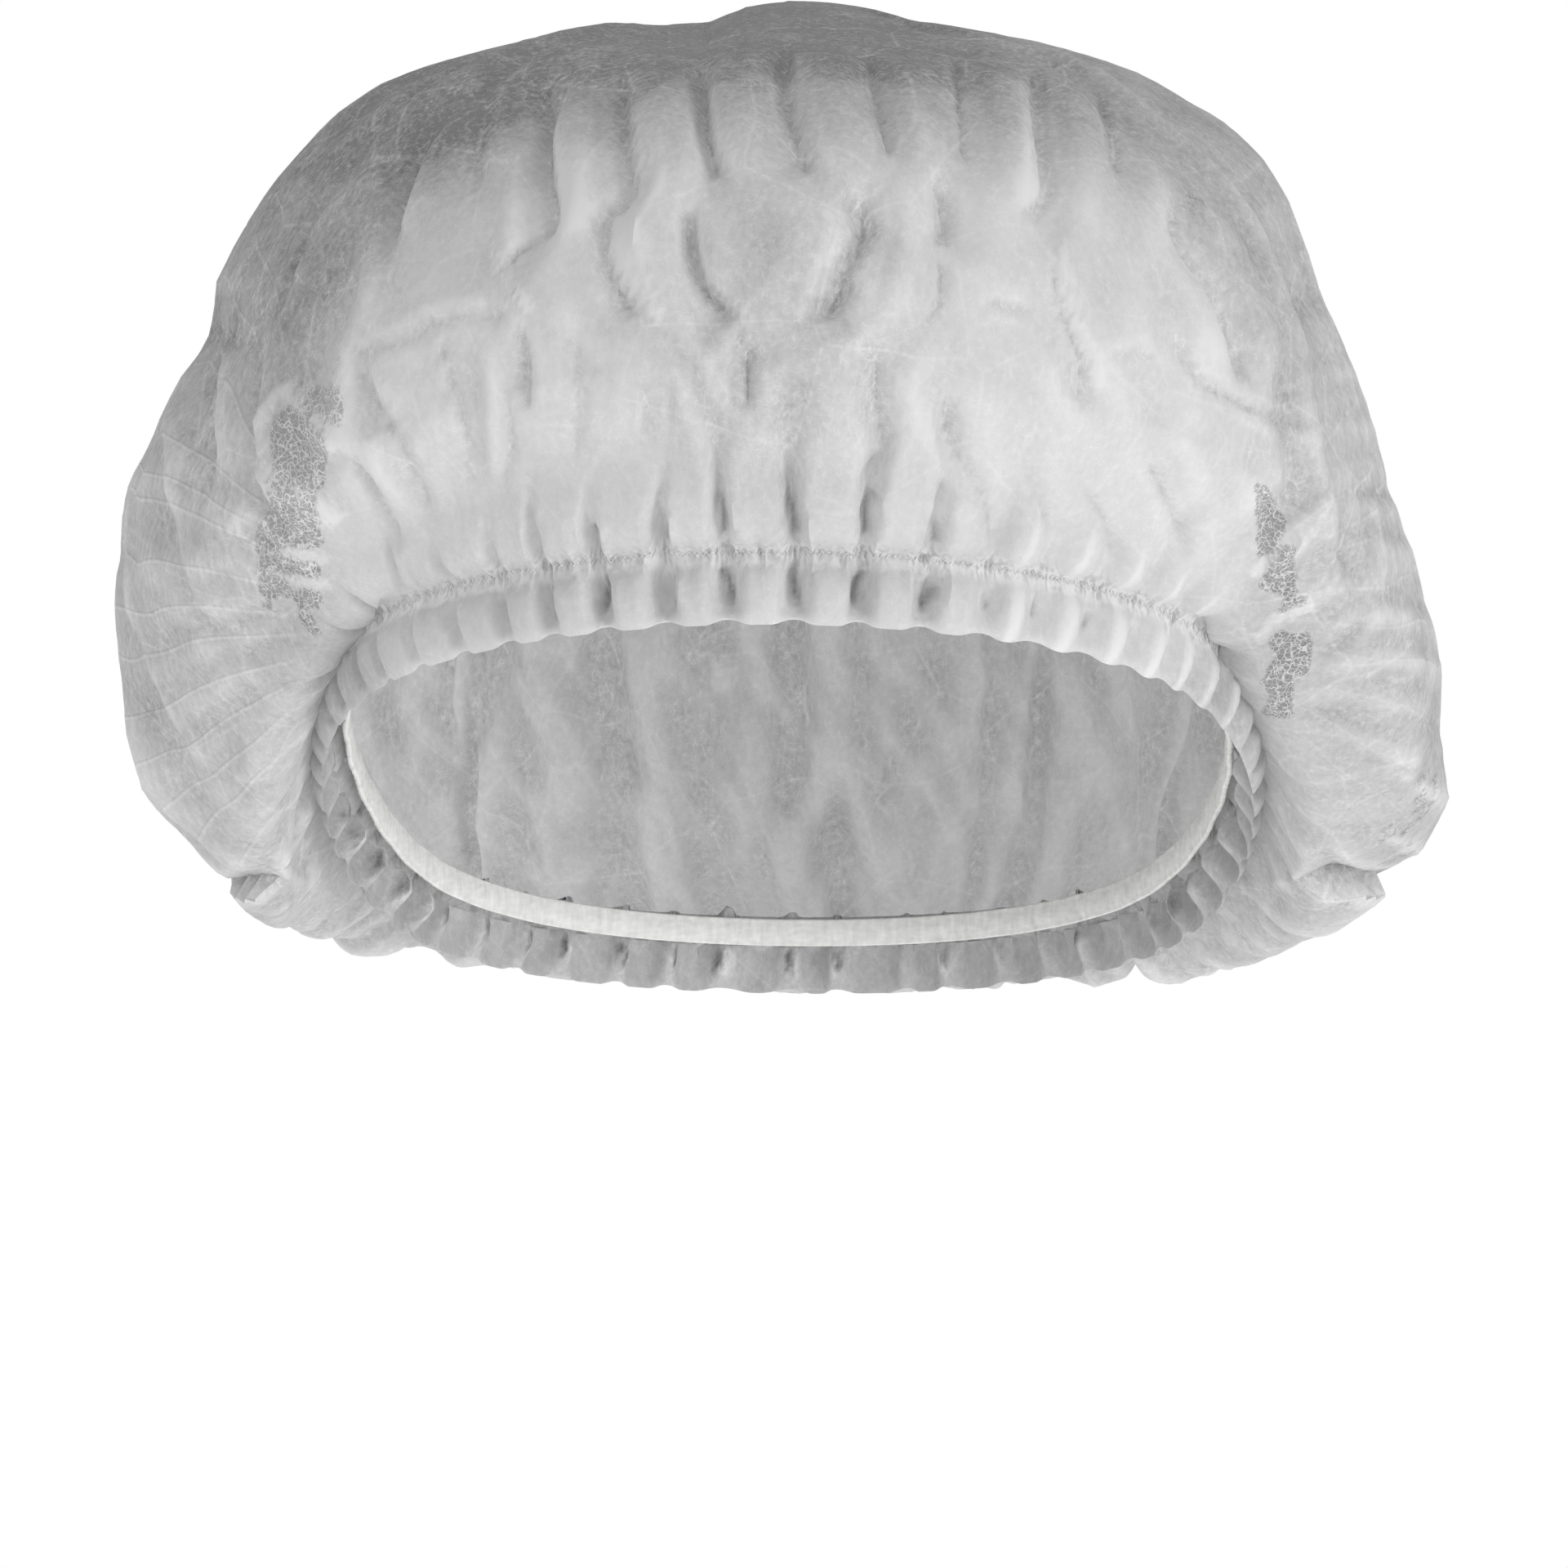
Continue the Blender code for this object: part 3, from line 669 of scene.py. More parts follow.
def profile(off, left, right):
    """A fold's shape across it: full at the route, none at either side, with straight papery flanks."""
    share = np.where(off < 0, -off / left, off / right)
    soft = np.exp(-(share**2) * SOFT_FALL)
    straight = np.clip(1 - share / FLANK_REACH, 0, 1)
    return (soft + straight) / 2


placed, sharp = np.zeros_like(distance), np.zeros_like(distance)
for fold in FOLDS:
    low, high = np.min(fold.route, axis=0), np.max(fold.route, axis=0)
    margin = FOLD_REACH * max(fold.left, fold.right)
    inside = ((pixels > low - margin) & (pixels < high + margin)).all(axis=2)
    rows_columns = np.nonzero(seen_from_front & inside)
    off, from_end = beside(fold.route, pixels[rows_columns])
    ends = smooth_step(BLUNT_END, fold.taper, from_end)
    full = fold.height * ends * turned_away[rows_columns]
    placed[rows_columns] += full * profile(off, fold.left, fold.right)
    sharp[rows_columns] += full * profile(off, fold.left * NARROW, fold.right * NARROW)
print(len(FOLDS), "folds stand", placed.min().round(1), "to", placed.max().round(1), "mm")

# %% [markdown]
# ## Crumples
#
# The cap was folded flat in a packet and then pulled open, so the whole cloth is full of small flat facets
# with sharp creases between them. That is the pattern of a crumpled sheet of paper. It can be made from
# scattered points: the cloth is highest along the lines that are equally far from two of them. The pattern
# is laid out on the flat disc of cloth, so the creases follow the cloth and are long where the folds run.

# %% Facets of crumpled cloth
FACET_SIZES = ((34.0, 1.7), (15.0, 0.7))  # mm across, mm high
FACET_SEED, SEED_STEP = 3.7, 5.0
STRETCH = 1.9  # how much longer the facets are up the crown than round it
LEAST_RADIUS = 40.0  # mm from the crown's middle, inside which the facets' rays run side by side
SWAY, SWAY_STEP = 0.06, 0.9  # radians by which the facets' rays sway, and how fast
ASLANT = (0.37, -0.61)  # the way in which the facets are laid off with the distance from the crown's middle
CRUMPLE_RISE, CRUMPLE_SHARE = (0, 16, 40, 250), (0, 0.35, 1, 0.8)  # mm above the elastic, share of the height
CRUMPLE_FRONT = 0.3  # share of the crumples' height at the forehead
CRUMPLE_BAGS, CRUMPLE_BACK = 0.3, 1.3  # shares of it that are missing in the ear bags, and added at the back


def facets(places, seed):
    """A crumpled height from 0 to 1, with straight sharp creases, at places in facet sizes."""
    values = np.empty(len(places))
    for k, (x, y) in enumerate(places):
        dist, _ = noise.voronoi(Vector((x, y, seed)))
        values[k] = min(1.0, dist[1] - dist[0])
    return values


from_top = at_turn(full_length, turn) - distance
round_turn = turn * 2 * math.pi
crumples = np.zeros_like(distance)
rows_above = slice(HEM_COUNT + FRILL_ROWS, ROWS)
for k, (size, height) in enumerate(FACET_SIZES):
    radius = from_top[rows_above] / (size * STRETCH)
    wide = np.maximum(from_top[rows_above], LEAST_RADIUS) / size
    spin = round_turn[rows_above] + SWAY * np.sin(radius * SWAY_STEP + k)
    plan = (np.cos(spin) * wide + radius * ASLANT[0], np.sin(spin) * wide + radius * ASLANT[1])
    places = np.stack(plan, axis=-1)
    pattern = facets(places.reshape(-1, 2), FACET_SEED + SEED_STEP * k).reshape(places.shape[:2])
    crumples[rows_above] += (0.5 - pattern) * height
by_side = 1 - CRUMPLE_BAGS * bag_share + CRUMPLE_BACK * back_share
crumple_share = np.interp(distance, CRUMPLE_RISE, CRUMPLE_SHARE)
crumples *= crumple_share * (1 - (1 - CRUMPLE_FRONT) * front_share) * by_side
print("crumples stand", crumples.min().round(1), "to", crumples.max().round(1), "mm")

# %% [markdown]
# ## Let the cloth settle
#
# Folds that are only added up look like grooves pressed in clay. Real cloth hardly stretches: where it is
# pushed together it buckles, and neighbouring folds run into each other. So the sheet is given a little
# more length than it has room for, most of it round the cap, and is then left to settle. In every step each
# edge of the mesh pulls or pushes its ends towards the length that it should have, the cloth's stiffness
# straightens sharp bends, and a weak pull holds it near its worn place. The rows at the stitches stay in
# place.

# %% Settle the sheet
SETTLE_STEPS = 180
MOMENTUM = 0.9
FREE_ABOVE = (10.0, 30.0)  # mm above the elastic between which the cloth comes free
LEAST_LENGTH = 1e-4  # mm: so that no edge is divided by nothing
EDGE_PULL, DIAGONAL_WEIGHT = 0.10, 0.35

# Each of these is read at a distance above the elastic, in millimetres.
GROW_ROUND = ((0, 0.0), (6, 0.03), (20, 0.12), (70, 0.16), (140, 0.09), (200, 0.02), (250, 0.0))
STIFFNESS = ((0, 0.015), (12, 0.03), (40, 0.09), (250, 0.10))
HOLD = ((0, 0.0010), (20, 0.0006), (60, 0.0003), (250, 0.0002))
GROW_UP = 0.02  # the share by which the cloth grows upwards, everywhere
GROW_FRONT = 0.3  # share of the growth at the forehead, where the cloth is drawn smooth
SEED_SHARE = 0.7  # share of the picture's folds that is there before the cloth settles


def shifted(grid, rows, columns):
    """The grid's points that lie some rows up and some columns on."""
    far = np.roll(grid, -columns, axis=1)
    return np.concatenate((far[rows:], far[-rows:]), axis=0) if rows else far


def edge_pull(moved, wanted, rows, columns):
    """What edges of one direction ask of their two ends."""
    edge = shifted(moved, rows, columns) - moved
    length = np.sqrt((edge * edge).sum(axis=2, keepdims=True))
    pull = edge * (1 - wanted / np.maximum(length, LEAST_LENGTH))
    if not rows:
        return pull - np.roll(pull, columns, axis=1)
    pull[-rows:] = 0
    back = np.concatenate((np.zeros_like(pull[:rows]), pull[:-rows]), axis=0)
    return pull - np.roll(back, columns, axis=1)


def bend(offset):
    """How far each point lies off the middle of its neighbours, round the cap and up it."""
    padded = np.concatenate((offset[:1], offset, offset[-1:]))
    round_cap = (np.roll(offset, 1, axis=1) + np.roll(offset, -1, axis=1)) / 2 - offset
    return round_cap, (padded[2:] + padded[:-2]) / 2 - offset


def settle(sheet, smooth, growth):
    """Moves the sheet's points so that its edges come near to their own lengths."""
    free = smooth_step(*FREE_ABOVE, distance)[..., None]
    free[-1] = 0
    hold = np.interp(distance, *zip(*HOLD))[..., None]
    stiff = np.interp(distance, *zip(*STIFFNESS))[..., None]
    directions = []
    kinds = (
        (0, 1, growth, 1.0),
        (1, 0, GROW_UP, 1.0),
        (1, 1, growth / 2, DIAGONAL_WEIGHT),
        (1, -1, growth / 2, DIAGONAL_WEIGHT),
    )
    for rows, columns, grow, weight in kinds:
        length = np.linalg.norm(shifted(sheet, rows, columns) - sheet, axis=2, keepdims=True)
        directions.append((length * (1 + grow), rows, columns, weight * EDGE_PULL))
    moved, speed = sheet.copy(), np.zeros_like(sheet)
    for step in range(SETTLE_STEPS):
        change = hold * (smooth - moved)
        for wanted, rows, columns, weight in directions:
            change += weight * edge_pull(moved, wanted, rows, columns)
        bent_round, bent_up = bend(moved - smooth)
        change -= stiff * bend(bent_round)[0] + stiff * bend(bent_up)[1]
        speed = MOMENTUM * speed + change
        moved += free * speed
    return moved


growth = np.interp(distance, *zip(*GROW_ROUND)) * (1 - (1 - GROW_FRONT) * front_share)
growth *= 1 - CALM_BAGS * bag_share
start = base + base_normal * (gathers + strips + placed * SEED_SHARE - inset)[..., None]
points = settle(start, base, growth[..., None])
shift = ((points - start) * base_normal).sum(axis=2)
print("the cloth settled by", shift.min().round(1), "to", shift.max().round(1), "mm")

# %% [markdown]
# ## Creases on the settled cloth
#
# Settling rounds the creases off a little, so the picture's folds are sharpened again along the same
# routes, only narrower, and the crumples are laid over everything. At the crown's middle, where all columns
# of the mesh meet, the cloth is smooth.

# %% Sharpen the creases
SHARPEN_SHARE = 0.75
POLE = (6.0, 34.0)  # mm from the crown's middle between which all folds die out
LUMP_SIZE, LUMP_HEIGHT, LUMP_RISE = 9.0, 0.3, (4.0, 30.0)  # mm, the last above the elastic

height = sharp * SHARPEN_SHARE + crumples
points = points + base_normal * height[..., None]
lumps = np.array([noise.noise(Vector(p) / LUMP_SIZE) for p in points.reshape(-1, 3)]).reshape(distance.shape)
points += base_normal * (LUMP_HEIGHT * lumps * np.interp(distance, LUMP_RISE, (0, 1)))[..., None]
calm = smooth_step(*POLE, from_top)[..., None]
points = base + (points - base) * calm
all_points = points.reshape(-1, 3)
print("the cloth reaches", all_points.min(axis=0).round(1), "to", all_points.max(axis=0).round(1), "mm")

# %% [markdown]
# ## The rim of the picture
#
# The cap isn't round when seen from the front: the ear bag on one side meets the crown in a notch, the top
# dips a little, and the other bag hangs lower. The table gives the rim's distance from the picture's
# middle, one number for every five degrees, from below one ear bag over the top to below the other. The
# cloth that forms the rim is moved out or in until it lies there, and the cloth around it follows.

# %% Fit the rim
RIM_CENTRE = np.array((965.0, 600.0))
RIM_START, RIM_STEP = 140.0, 5.0  # degrees, clockwise from the picture's right
RIM_REACH = (  # px
    802, 836, 854, 872, 863, 846, 838, 821, 811, 781, 759, 731, 745, 740,
    735, 727, 720, 705, 681, 657, 638, 625, 610, 590, 581, 594, 599, 599,
    598, 595, 604, 616, 632, 649, 668, 681, 700, 709, 708, 700, 695, 703,
    713, 724, 736, 765, 794, 830, 850, 894, 893, 844, 818, 784,
)
RIM_ROUNDS = 3
RIM_DEPTH = 60.0  # px inside the rim over which the cloth follows
RIM_SEAM = 90.0  # degrees: straight down, where the rim isn't fitted and the count of degrees may jump
RIM_MARGIN, RIM_BIN = 3.0, 1.0  # degrees: how far past its table the rim is measured, and how finely
RIM_OUTSIDE, RIM_INSIDE = 2.0, 4.0  # degrees about the table's ends over which the fit fades out
RIM_LOWEST = -30.0  # mm: cloth below this is at the nape and not on the rim
RIM_HEART = (0.0, 0.0, 40.0)  # mm: the cloth is moved straight away from here
RIM_FREE = (6.0, 20.0)  # mm above the elastic between which the cloth may move
AT_RIM = 0.9  # nearness from which a place counts as the rim itself


def fit_rim(sheet):
    """Moves the cloth at the picture's rim to the reach in the table."""
    low, high = RIM_START, RIM_START + RIM_STEP * (len(RIM_REACH) - 1)
    wanted_at = np.linspace(low, high, len(RIM_REACH))
    for _ in range(RIM_ROUNDS):
        away = pixels_of(sheet) - RIM_CENTRE
        reach = np.hypot(away[..., 0], away[..., 1])
        direction = (np.degrees(np.arctan2(away[..., 1], away[..., 0])) - RIM_SEAM) % 360 + RIM_SEAM
        bins = np.arange(low - RIM_MARGIN, high + RIM_MARGIN, RIM_BIN)
        number_of = np.digitize(direction, bins)
        widest = np.array([reach[number_of == k].max(initial=0) for k in range(1, len(bins))])
        middles = bins[:-1] + RIM_BIN / 2
        error = np.interp(direction, wanted_at, RIM_REACH) - np.interp(direction, middles, widest)
        inside = np.interp(direction, middles, widest) - reach
        near = np.exp(-((inside / RIM_DEPTH) ** 2)) * (sheet[..., 2] > RIM_LOWEST)
        known = smooth_step(low - RIM_OUTSIDE, low + RIM_INSIDE, direction)
        known *= smooth_step(high + RIM_OUTSIDE, high - RIM_INSIDE, direction)
        outward = unit(sheet * (1, 0, 1) - RIM_HEART)
        push = error * PIXEL * near * known * smooth_step(*RIM_FREE, distance)
        sheet = sheet + outward * (1, 0, 1) * push[..., None]
    print("the rim is off by", np.abs(error[near > AT_RIM]).mean().round(1), "px before the last round")
    return sheet


points = fit_rim(points)

# %% [markdown]
# ## One closed sheet
#
# The rows run from the hem's inner edge, round the folded hem, past the elastic and up to the crown's top,
# where they meet in one point. The sheet has no thickness of its own: a nonwoven of 14 grams for each
# square metre is about a tenth of a millimetre thick, and its folded hem is the only edge that shows.

# %% Make the mesh
WELD = 0.004  # mm


def select_only(*objects):
    bpy.ops.object.select_all(action="DESELECT")
    for o in objects:
        o.select_set(True)
    bpy.context.view_layer.objects.active = objects[0]


def mesh_from_grid(name, grid):
    """An object from a grid of points in millimetres that closes round the cap."""
    rows, columns, _ = grid.shape
    bpy.ops.object.select_all(action="DESELECT")
    bpy.ops.mesh.primitive_grid_add(x_subdivisions=columns, y_subdivisions=rows - 1, size=1)
    made = bpy.context.object
    made.name = made.data.name = name
    closed = np.concatenate((grid, grid[:, :1]), axis=1)
    made.data.vertices.foreach_set("co", (closed.reshape(-1, 3) * MM).ravel())
    bpy.ops.object.mode_set(mode="EDIT")
    bpy.ops.mesh.select_all(action="SELECT")
    bpy.ops.mesh.remove_doubles(threshold=WELD * MM)
    bpy.ops.mesh.normals_make_consistent(inside=False)
    bpy.ops.object.mode_set(mode="OBJECT")
    made.data.update()
    return made


crown = mesh_from_grid("crown_sheet", points)
triangles = sum(len(p.vertices) - 2 for p in crown.data.polygons)
print("the cloth has", triangles, "triangles")

# %% [markdown]
# ## Where the cloth is thin
#
# A nonwoven is laid down as loose filaments, so it is uneven: here and there it is so thin that single
# filaments cross a gap. The picture shows such places beside the elastic's ends, and some folds that run
# over them, where two layers close the gap again. A real gap would need a mesh as fine as the filaments, so
# each point of the cloth stores a number instead, which says how thin it is, and the material reads it.
# Nine more numbers follow in the next cells. All are worked out on the grid first.

# %% Thin places beside the elastic's ends
THIN_PLACES = (  # px, the corners of each
    ((374, 474), (416, 470), (418, 522), (376, 524)),
    ((353, 485), (374, 500), (402, 531), (402, 580), (392, 609), (343, 583), (326, 528)),
    ((318, 571), (346, 592), (382, 612), (394, 630), (394, 669), (316, 675), (313, 650), (331, 622)),
    ((313, 678), (392, 678), (392, 707), (313, 707)),
    ((318, 710), (366, 710), (366, 731), (318, 731)),
    ((364, 718), (394, 718), (394, 746), (364, 746)),
    ((369, 753), (389, 753), (389, 777), (369, 777)),
    ((1538, 592), (1554, 600), (1574, 638), (1576, 655), (1552, 681), (1540, 684), (1537, 634)),
    ((1544, 660), (1586, 660), (1586, 727), (1544, 727)),
    ((1548, 762), (1575, 734), (1612, 723), (1614, 732), (1584, 748), (1556, 772)),
    ((1556, 774), (1606, 774), (1606, 829), (1556, 829)),
    ((1550, 819), (1584, 819), (1584, 880), (1550, 880)),
)
FAINT_PLACES = (  # px, the centre and half sizes of each, and how thin it is
    ((329, 751), (16, 11), 0.5),
    ((410, 443), (10, 14), 0.6),
    ((450, 315), (14, 30), 0.45),
    ((492, 248), (10, 16), 0.45),
    ((1462, 258), (24, 44), 0.4),
    ((1502, 365), (10, 22), 0.45),
    ((1520, 442), (12, 40), 0.4),
    ((1748, 975), (24, 46), 0.5),
    ((1716, 1026), (36, 26), 0.5),
)
CROSSING_FOLDS = (  # px, folds that run across the thin places
    ((323, 571), (360, 595), (392, 617), (412, 637)),
    ((312, 674), (350, 677), (396, 684)),
    ((305, 704), (350, 708), (398, 716)),
    ((352, 486), (380, 506), (414, 540)),
    ((1536, 702), (1564, 676), (1600, 634)),
    ((1544, 778), (1566, 758), (1606, 742)),
)
FAINT_EDGE, CROSSING_EDGE = (1.3, 0.5), (10.0, 3.0)  # half sizes, px: from nothing to full
FRAY, FRAY_SCALE = 3.0, 0.5  # px by which the thin places' edges wander, waves for each mm
FRONT_HALF = (50.0, 25.0)  # mm, from where the back ends to where all is front
TURNED_AWAY = -0.2  # a place that faces the camera less than this doesn't show in the picture
THIN_FACING = (0.05, 0.3)  # how much a place faces the camera where it may be thin: a little, in full


def inside_polygon(places, corners):
    inside = np.zeros(len(places), bool)
    x, y = places.T
    for (x0, y0), (x1, y1) in zip(corners, corners[1:] + corners[:1]):
        if y0 != y1:
            crosses = (y0 > y) != (y1 > y)
            inside ^= crosses & (x < (x1 - x0) * (y - y0) / (y1 - y0) + x0)
    return inside


def ellipse(places, centre, size):
    """0 at an ellipse's centre, 1 at its edge."""
    return np.linalg.norm((places - centre) / size, axis=1)


grid_shape = distance.shape
places = points.reshape(-1, 3)
to_camera = (grid_normals(points).reshape(-1, 3) * unit(camera_point - places)).sum(axis=1)
in_front = smooth_step(*FRONT_HALF, places[:, 1]) * (to_camera > TURNED_AWAY)
shown_at = pixels_of(places)
risen = distance.ravel()
across = np.broadcast_to(np.minimum(t, 1 - t), grid_shape).ravel()  # of a gather, from the nearer valley

noise.seed_set(SEED)  # so that noise_vector gives the same in every run
frayed = np.array([noise.noise_vector(Vector(p) * FRAY_SCALE) for p in places])[:, :2] * FRAY
thin = np.zeros(len(places))
for corners in THIN_PLACES:
    thin = np.maximum(thin, inside_polygon(shown_at + frayed, corners))
for centre, size, share in FAINT_PLACES:
    thin = np.maximum(thin, share * smooth_step(*FAINT_EDGE, ellipse(shown_at, centre, size)))
thin *= in_front * smooth_step(*THIN_FACING, to_camera)
over_gaps = [
    smooth_step(*CROSSING_EDGE, np.abs(beside(route, shown_at)[0])) * in_front for route in CROSSING_FOLDS
]
for over_gap in over_gaps:
    thin *= 1 - over_gap
print(len(THIN_PLACES) + len(FAINT_PLACES), "thin places,", len(CROSSING_FOLDS), "folds across them")

# %% [markdown]
# ## Ridges, hollows and layers, with painted highlight and shade
#
# One layer of this cloth is see-through and two are nearly white. So a ridge, where the cloth is folded
# close on itself, looks whiter than a flat place, and a hollow, which is a single layer with shade behind
# it, looks darker. The ridges are painted whiter, partly for that doubled cloth and partly as a painted
# highlight,
# and the hollows are painted darker: a painted shade. Each point is compared with its neighbours: where it
# stands out from them it is on a ridge.

# %% Where the cloth is ridged, hollow or layered: painted highlight and shade
FOLD_STEPS = ((1, 1), (1, 0), (3, 1), (2, 0))  # how many steps away a neighbour is, and on which axis
FOLD_FULL = 1.5  # mm by which the clearest ridge stands out from its neighbours, all four taken together
FOLDS_ABOVE = (8.0, 30.0)  # mm above the elastic between which ridges and hollows come in
LAYERED_EDGE, LAYERED_NARROWING, LAYERED_SOFT = 0.34, 0.010, 0.14  # of a gather; the second for each mm up
LAYERED_REACH = (17.0, 9.0)  # mm from the stitches, from nothing to full

stands = ((points - base) * base_normal).sum(axis=2)
hollow = np.zeros_like(stands)
for step, axis in FOLD_STEPS:
    hollow += (np.roll(stands, step, axis=axis) + np.roll(stands, -step, axis=axis)) / 2 - stands
hollow = hollow.ravel()
above = smooth_step(*FOLDS_ABOVE, risen)
fold = np.clip(-hollow / FOLD_FULL, 0, 1) * above
valley = np.clip(hollow / FOLD_FULL, 0, 1) * above
for over_gap in over_gaps:
    fold = np.maximum(fold, over_gap)

# The narrow ridges on the picture's right are two or three layers of cloth, and they are painted the whitest:
# partly for those layers, partly as a painted highlight.
of_thin_ridge = np.broadcast_to(np.isin(number, np.array(THIN_RIDGES) % GATHERS), grid_shape).ravel()
narrowing = LAYERED_EDGE + LAYERED_NARROWING * np.maximum(risen, 0)
layered = smooth_step(narrowing, narrowing + LAYERED_SOFT, across)
fold = np.maximum(fold, layered * of_thin_ridge * smooth_step(*LAYERED_REACH, np.abs(risen)))
print(f"ridges take up {100 * fold.mean():.0f} % of the cloth and hollows {100 * valley.mean():.0f} %")

# %% [markdown]
# ## The front painted white and the top painted grey
#
# Over the front of the crown the cloth is drawn smooth and is painted whiter: a painted light. Where it rolls
# over to the top it turns away from the light, and one looks through a single layer, so it is painted grey: a
# painted shade. The edge between the two is a wavy line in the picture, and every fold carries it a little up
# or down. On the other sides, which the picture doesn't show, the height alone says where the painted shade
# of the top begins. The painted shade is lighter on the right, nearer the lamp, and a greyer place in the
# middle of the front, where the cloth curves back, is painted shade as well.

# %% Painted light on the front, painted shade on the top
FRONT_LIGHT_CENTRE, FRONT_LIGHT_SIZE = (965.0, 560.0), (590.0, 480.0)  # px, the front, painted whiter: a painted light
FRONT_LIGHT_EDGE, FRONT_LIGHT_DEPTH = (1.08, 0.92), (8.0, -30.0)  # half sizes and mm, from nothing to full
TOP_EDGE = (  # px: the wavy edge where the front rolls over to the top, which is painted darker
    (380, 420), (480, 250), (500, 200), (560, 176), (620, 150), (670, 120), (700, 100),
    (770, 112), (830, 88), (860, 82), (905, 104), (945, 110), (990, 92), (1060, 100),
    (1170, 106), (1260, 120), (1360, 160), (1420, 195), (1460, 240), (1540, 420),
)
EDGE_SHARE, EDGE_WIDTH, EDGE_SHIFT = 0.5, (8.0, -10.0), 10.0  # px, px for each mm of a hollow
FADE_SHARE, FADE_WIDTH = 0.68, (160.0, -20.0)  # the part of the painted shade that comes in slowly, px under the edge
LOW_SHARE, LOW_ROWS = 0.5, (130.0, 300.0)  # how much of it is gone lower in the picture, px
FRONT_WEIGHT = (45.0, 15.0)  # mm, from the height's rule at the back to the picture's line at the front
CREST_HEIGHTS = (84.0, 111.0)  # mm, from nothing to full
CREST_SIDE, CREST_LEFT_TO_RIGHT = 0.72, (15.0, 60.0)  # the share of the painted shade that is missing on the right, nearer the lamp, mm
SHADE_SPOT_CENTRE, SHADE_SPOT_SIZE = (965.0, 380.0), (170.0, 260.0)  # px, a painted shade in the middle of the front, where the cloth curves back
SHADE_SPOT_SHARE, SHADE_SPOT_EDGE = 0.3, (1.3, 0.3)  # half sizes

# Painted light: inside an ellipse of the picture, the front of the crown is painted whiter.
painted_front_light = smooth_step(*FRONT_LIGHT_EDGE, ellipse(shown_at, FRONT_LIGHT_CENTRE, FRONT_LIGHT_SIZE))
painted_front_light *= smooth_step(*FRONT_LIGHT_DEPTH, places[:, 1])
# Painted shade: the top is painted grey above a wavy edge, and by its height where the picture doesn't show
# it.
under_edge = shown_at[:, 1] - np.interp(shown_at[:, 0], *zip(*TOP_EDGE))
at_edge = smooth_step(*EDGE_WIDTH, under_edge + EDGE_SHIFT * hollow) * EDGE_SHARE
over_edge = np.minimum(at_edge + FADE_SHARE * smooth_step(*FADE_WIDTH, under_edge), 1)
over_edge *= 1 - LOW_SHARE * smooth_step(*LOW_ROWS, shown_at[:, 1])
front_weight = smooth_step(*FRONT_WEIGHT, places[:, 1])
crest = smooth_step(*CREST_HEIGHTS, places[:, 2]) * (1 - front_weight) + over_edge * front_weight
crest *= 1 - CREST_SIDE * smooth_step(*CREST_LEFT_TO_RIGHT, places[:, 0])
# A painted shade in the middle of the front.
painted_centre_shade = smooth_step(*SHADE_SPOT_EDGE, ellipse(shown_at, SHADE_SPOT_CENTRE, SHADE_SPOT_SIZE)) * in_front
crest = np.maximum(crest, SHADE_SPOT_SHARE * painted_centre_shade)
print("the white front and the grey top are laid out")

# %% [markdown]
# ## Pockets, stitches, bags and hem
#
# Between two ridges of the gathers lies a pocket. Light comes into it through its thin walls, so it is grey
# and not black: the pockets are painted lighter for it, a painted light, and their crinkles darker, a painted
# shade.
# Its bottom is often pinched to a narrow dark cleft. A cleft is finer than the mesh's columns, so its shade
# is a line
# that is painted on, a painted shade: it lies a little aside of the valley's middle, leans and sways. At the
# stitches the cloth is crinkled, with painted highlight and shade. The puffed bags have fine pleats, painted
# as lighter lines, and
# are painted a little lighter: a painted light. The hem is doubled.

# %% Down in the gathers, and along the edges
POCKET_DROPS, POCKET_HEIGHTS = (1.6, 5.6), (26.0, 14.0)  # mm under the ridges, mm above the elastic
CLEFT_ASIDE, CLEFT_SWAY = (-1.5, 1.8), 0.7  # columns from the valley's middle
CLEFT_LEAN, CLEFT_MEAN_LEAN = (-0.10, 0.10), 0.02  # columns for each millimetre upwards
SWAY_LENGTH, SWAY_START = 2.3, 1.7  # mm, and radians from one gather to the next
CLEFT_HALF_WIDTH = 1.25  # columns: full in the middle, nothing at the sides
CLEFT_IN_POCKET = (0.1, 0.6)  # how deep in a pocket a cleft begins and is full
CLEFT_ENDS = ((-10.0, -7.5), (13.0, 8.0))  # mm from the elastic
LINE_REACH = 2.2  # mm from the stitches over which the cloth is crinkled
LINE_SHARE, LINE_MORE, LINE_VALLEY = 0.45, 0.7, (0.5, 0.12)  # most in the valleys, the last of a gather
BAG_RISE, BAG_TOP, BAG_DEPTH = (12.0, 24.0), (130.0, 90.0), (25.0, -10.0)  # mm, from nothing to full
BAG_RIGHT = 0.55  # the share of the pleats that is missing on the right
HEM_DEPTH = (-1.5, -4.0)  # mm below the elastic

# pocket: painted light in the pockets, and painted shade in their crinkles
pocket = smooth_step(*POCKET_DROPS, valley_drop).ravel() * smooth_step(*POCKET_HEIGHTS, risen)
aside_draw = random.Random(SEED)
cleft_aside, cleft_lean = (
    np.array([aside_draw.uniform(*span) for _ in range(GATHERS)])[nearest]
    for span in (CLEFT_ASIDE, CLEFT_LEAN)
)
half_gather = COLUMNS_PER_GATHER // 2
from_middle = (np.arange(COLUMNS) + half_gather) % COLUMNS_PER_GATHER - half_gather
from_cleft = from_middle - cleft_aside - (cleft_lean + CLEFT_MEAN_LEAN) * distance
from_cleft -= CLEFT_SWAY * np.sin(distance / SWAY_LENGTH + nearest * SWAY_START)
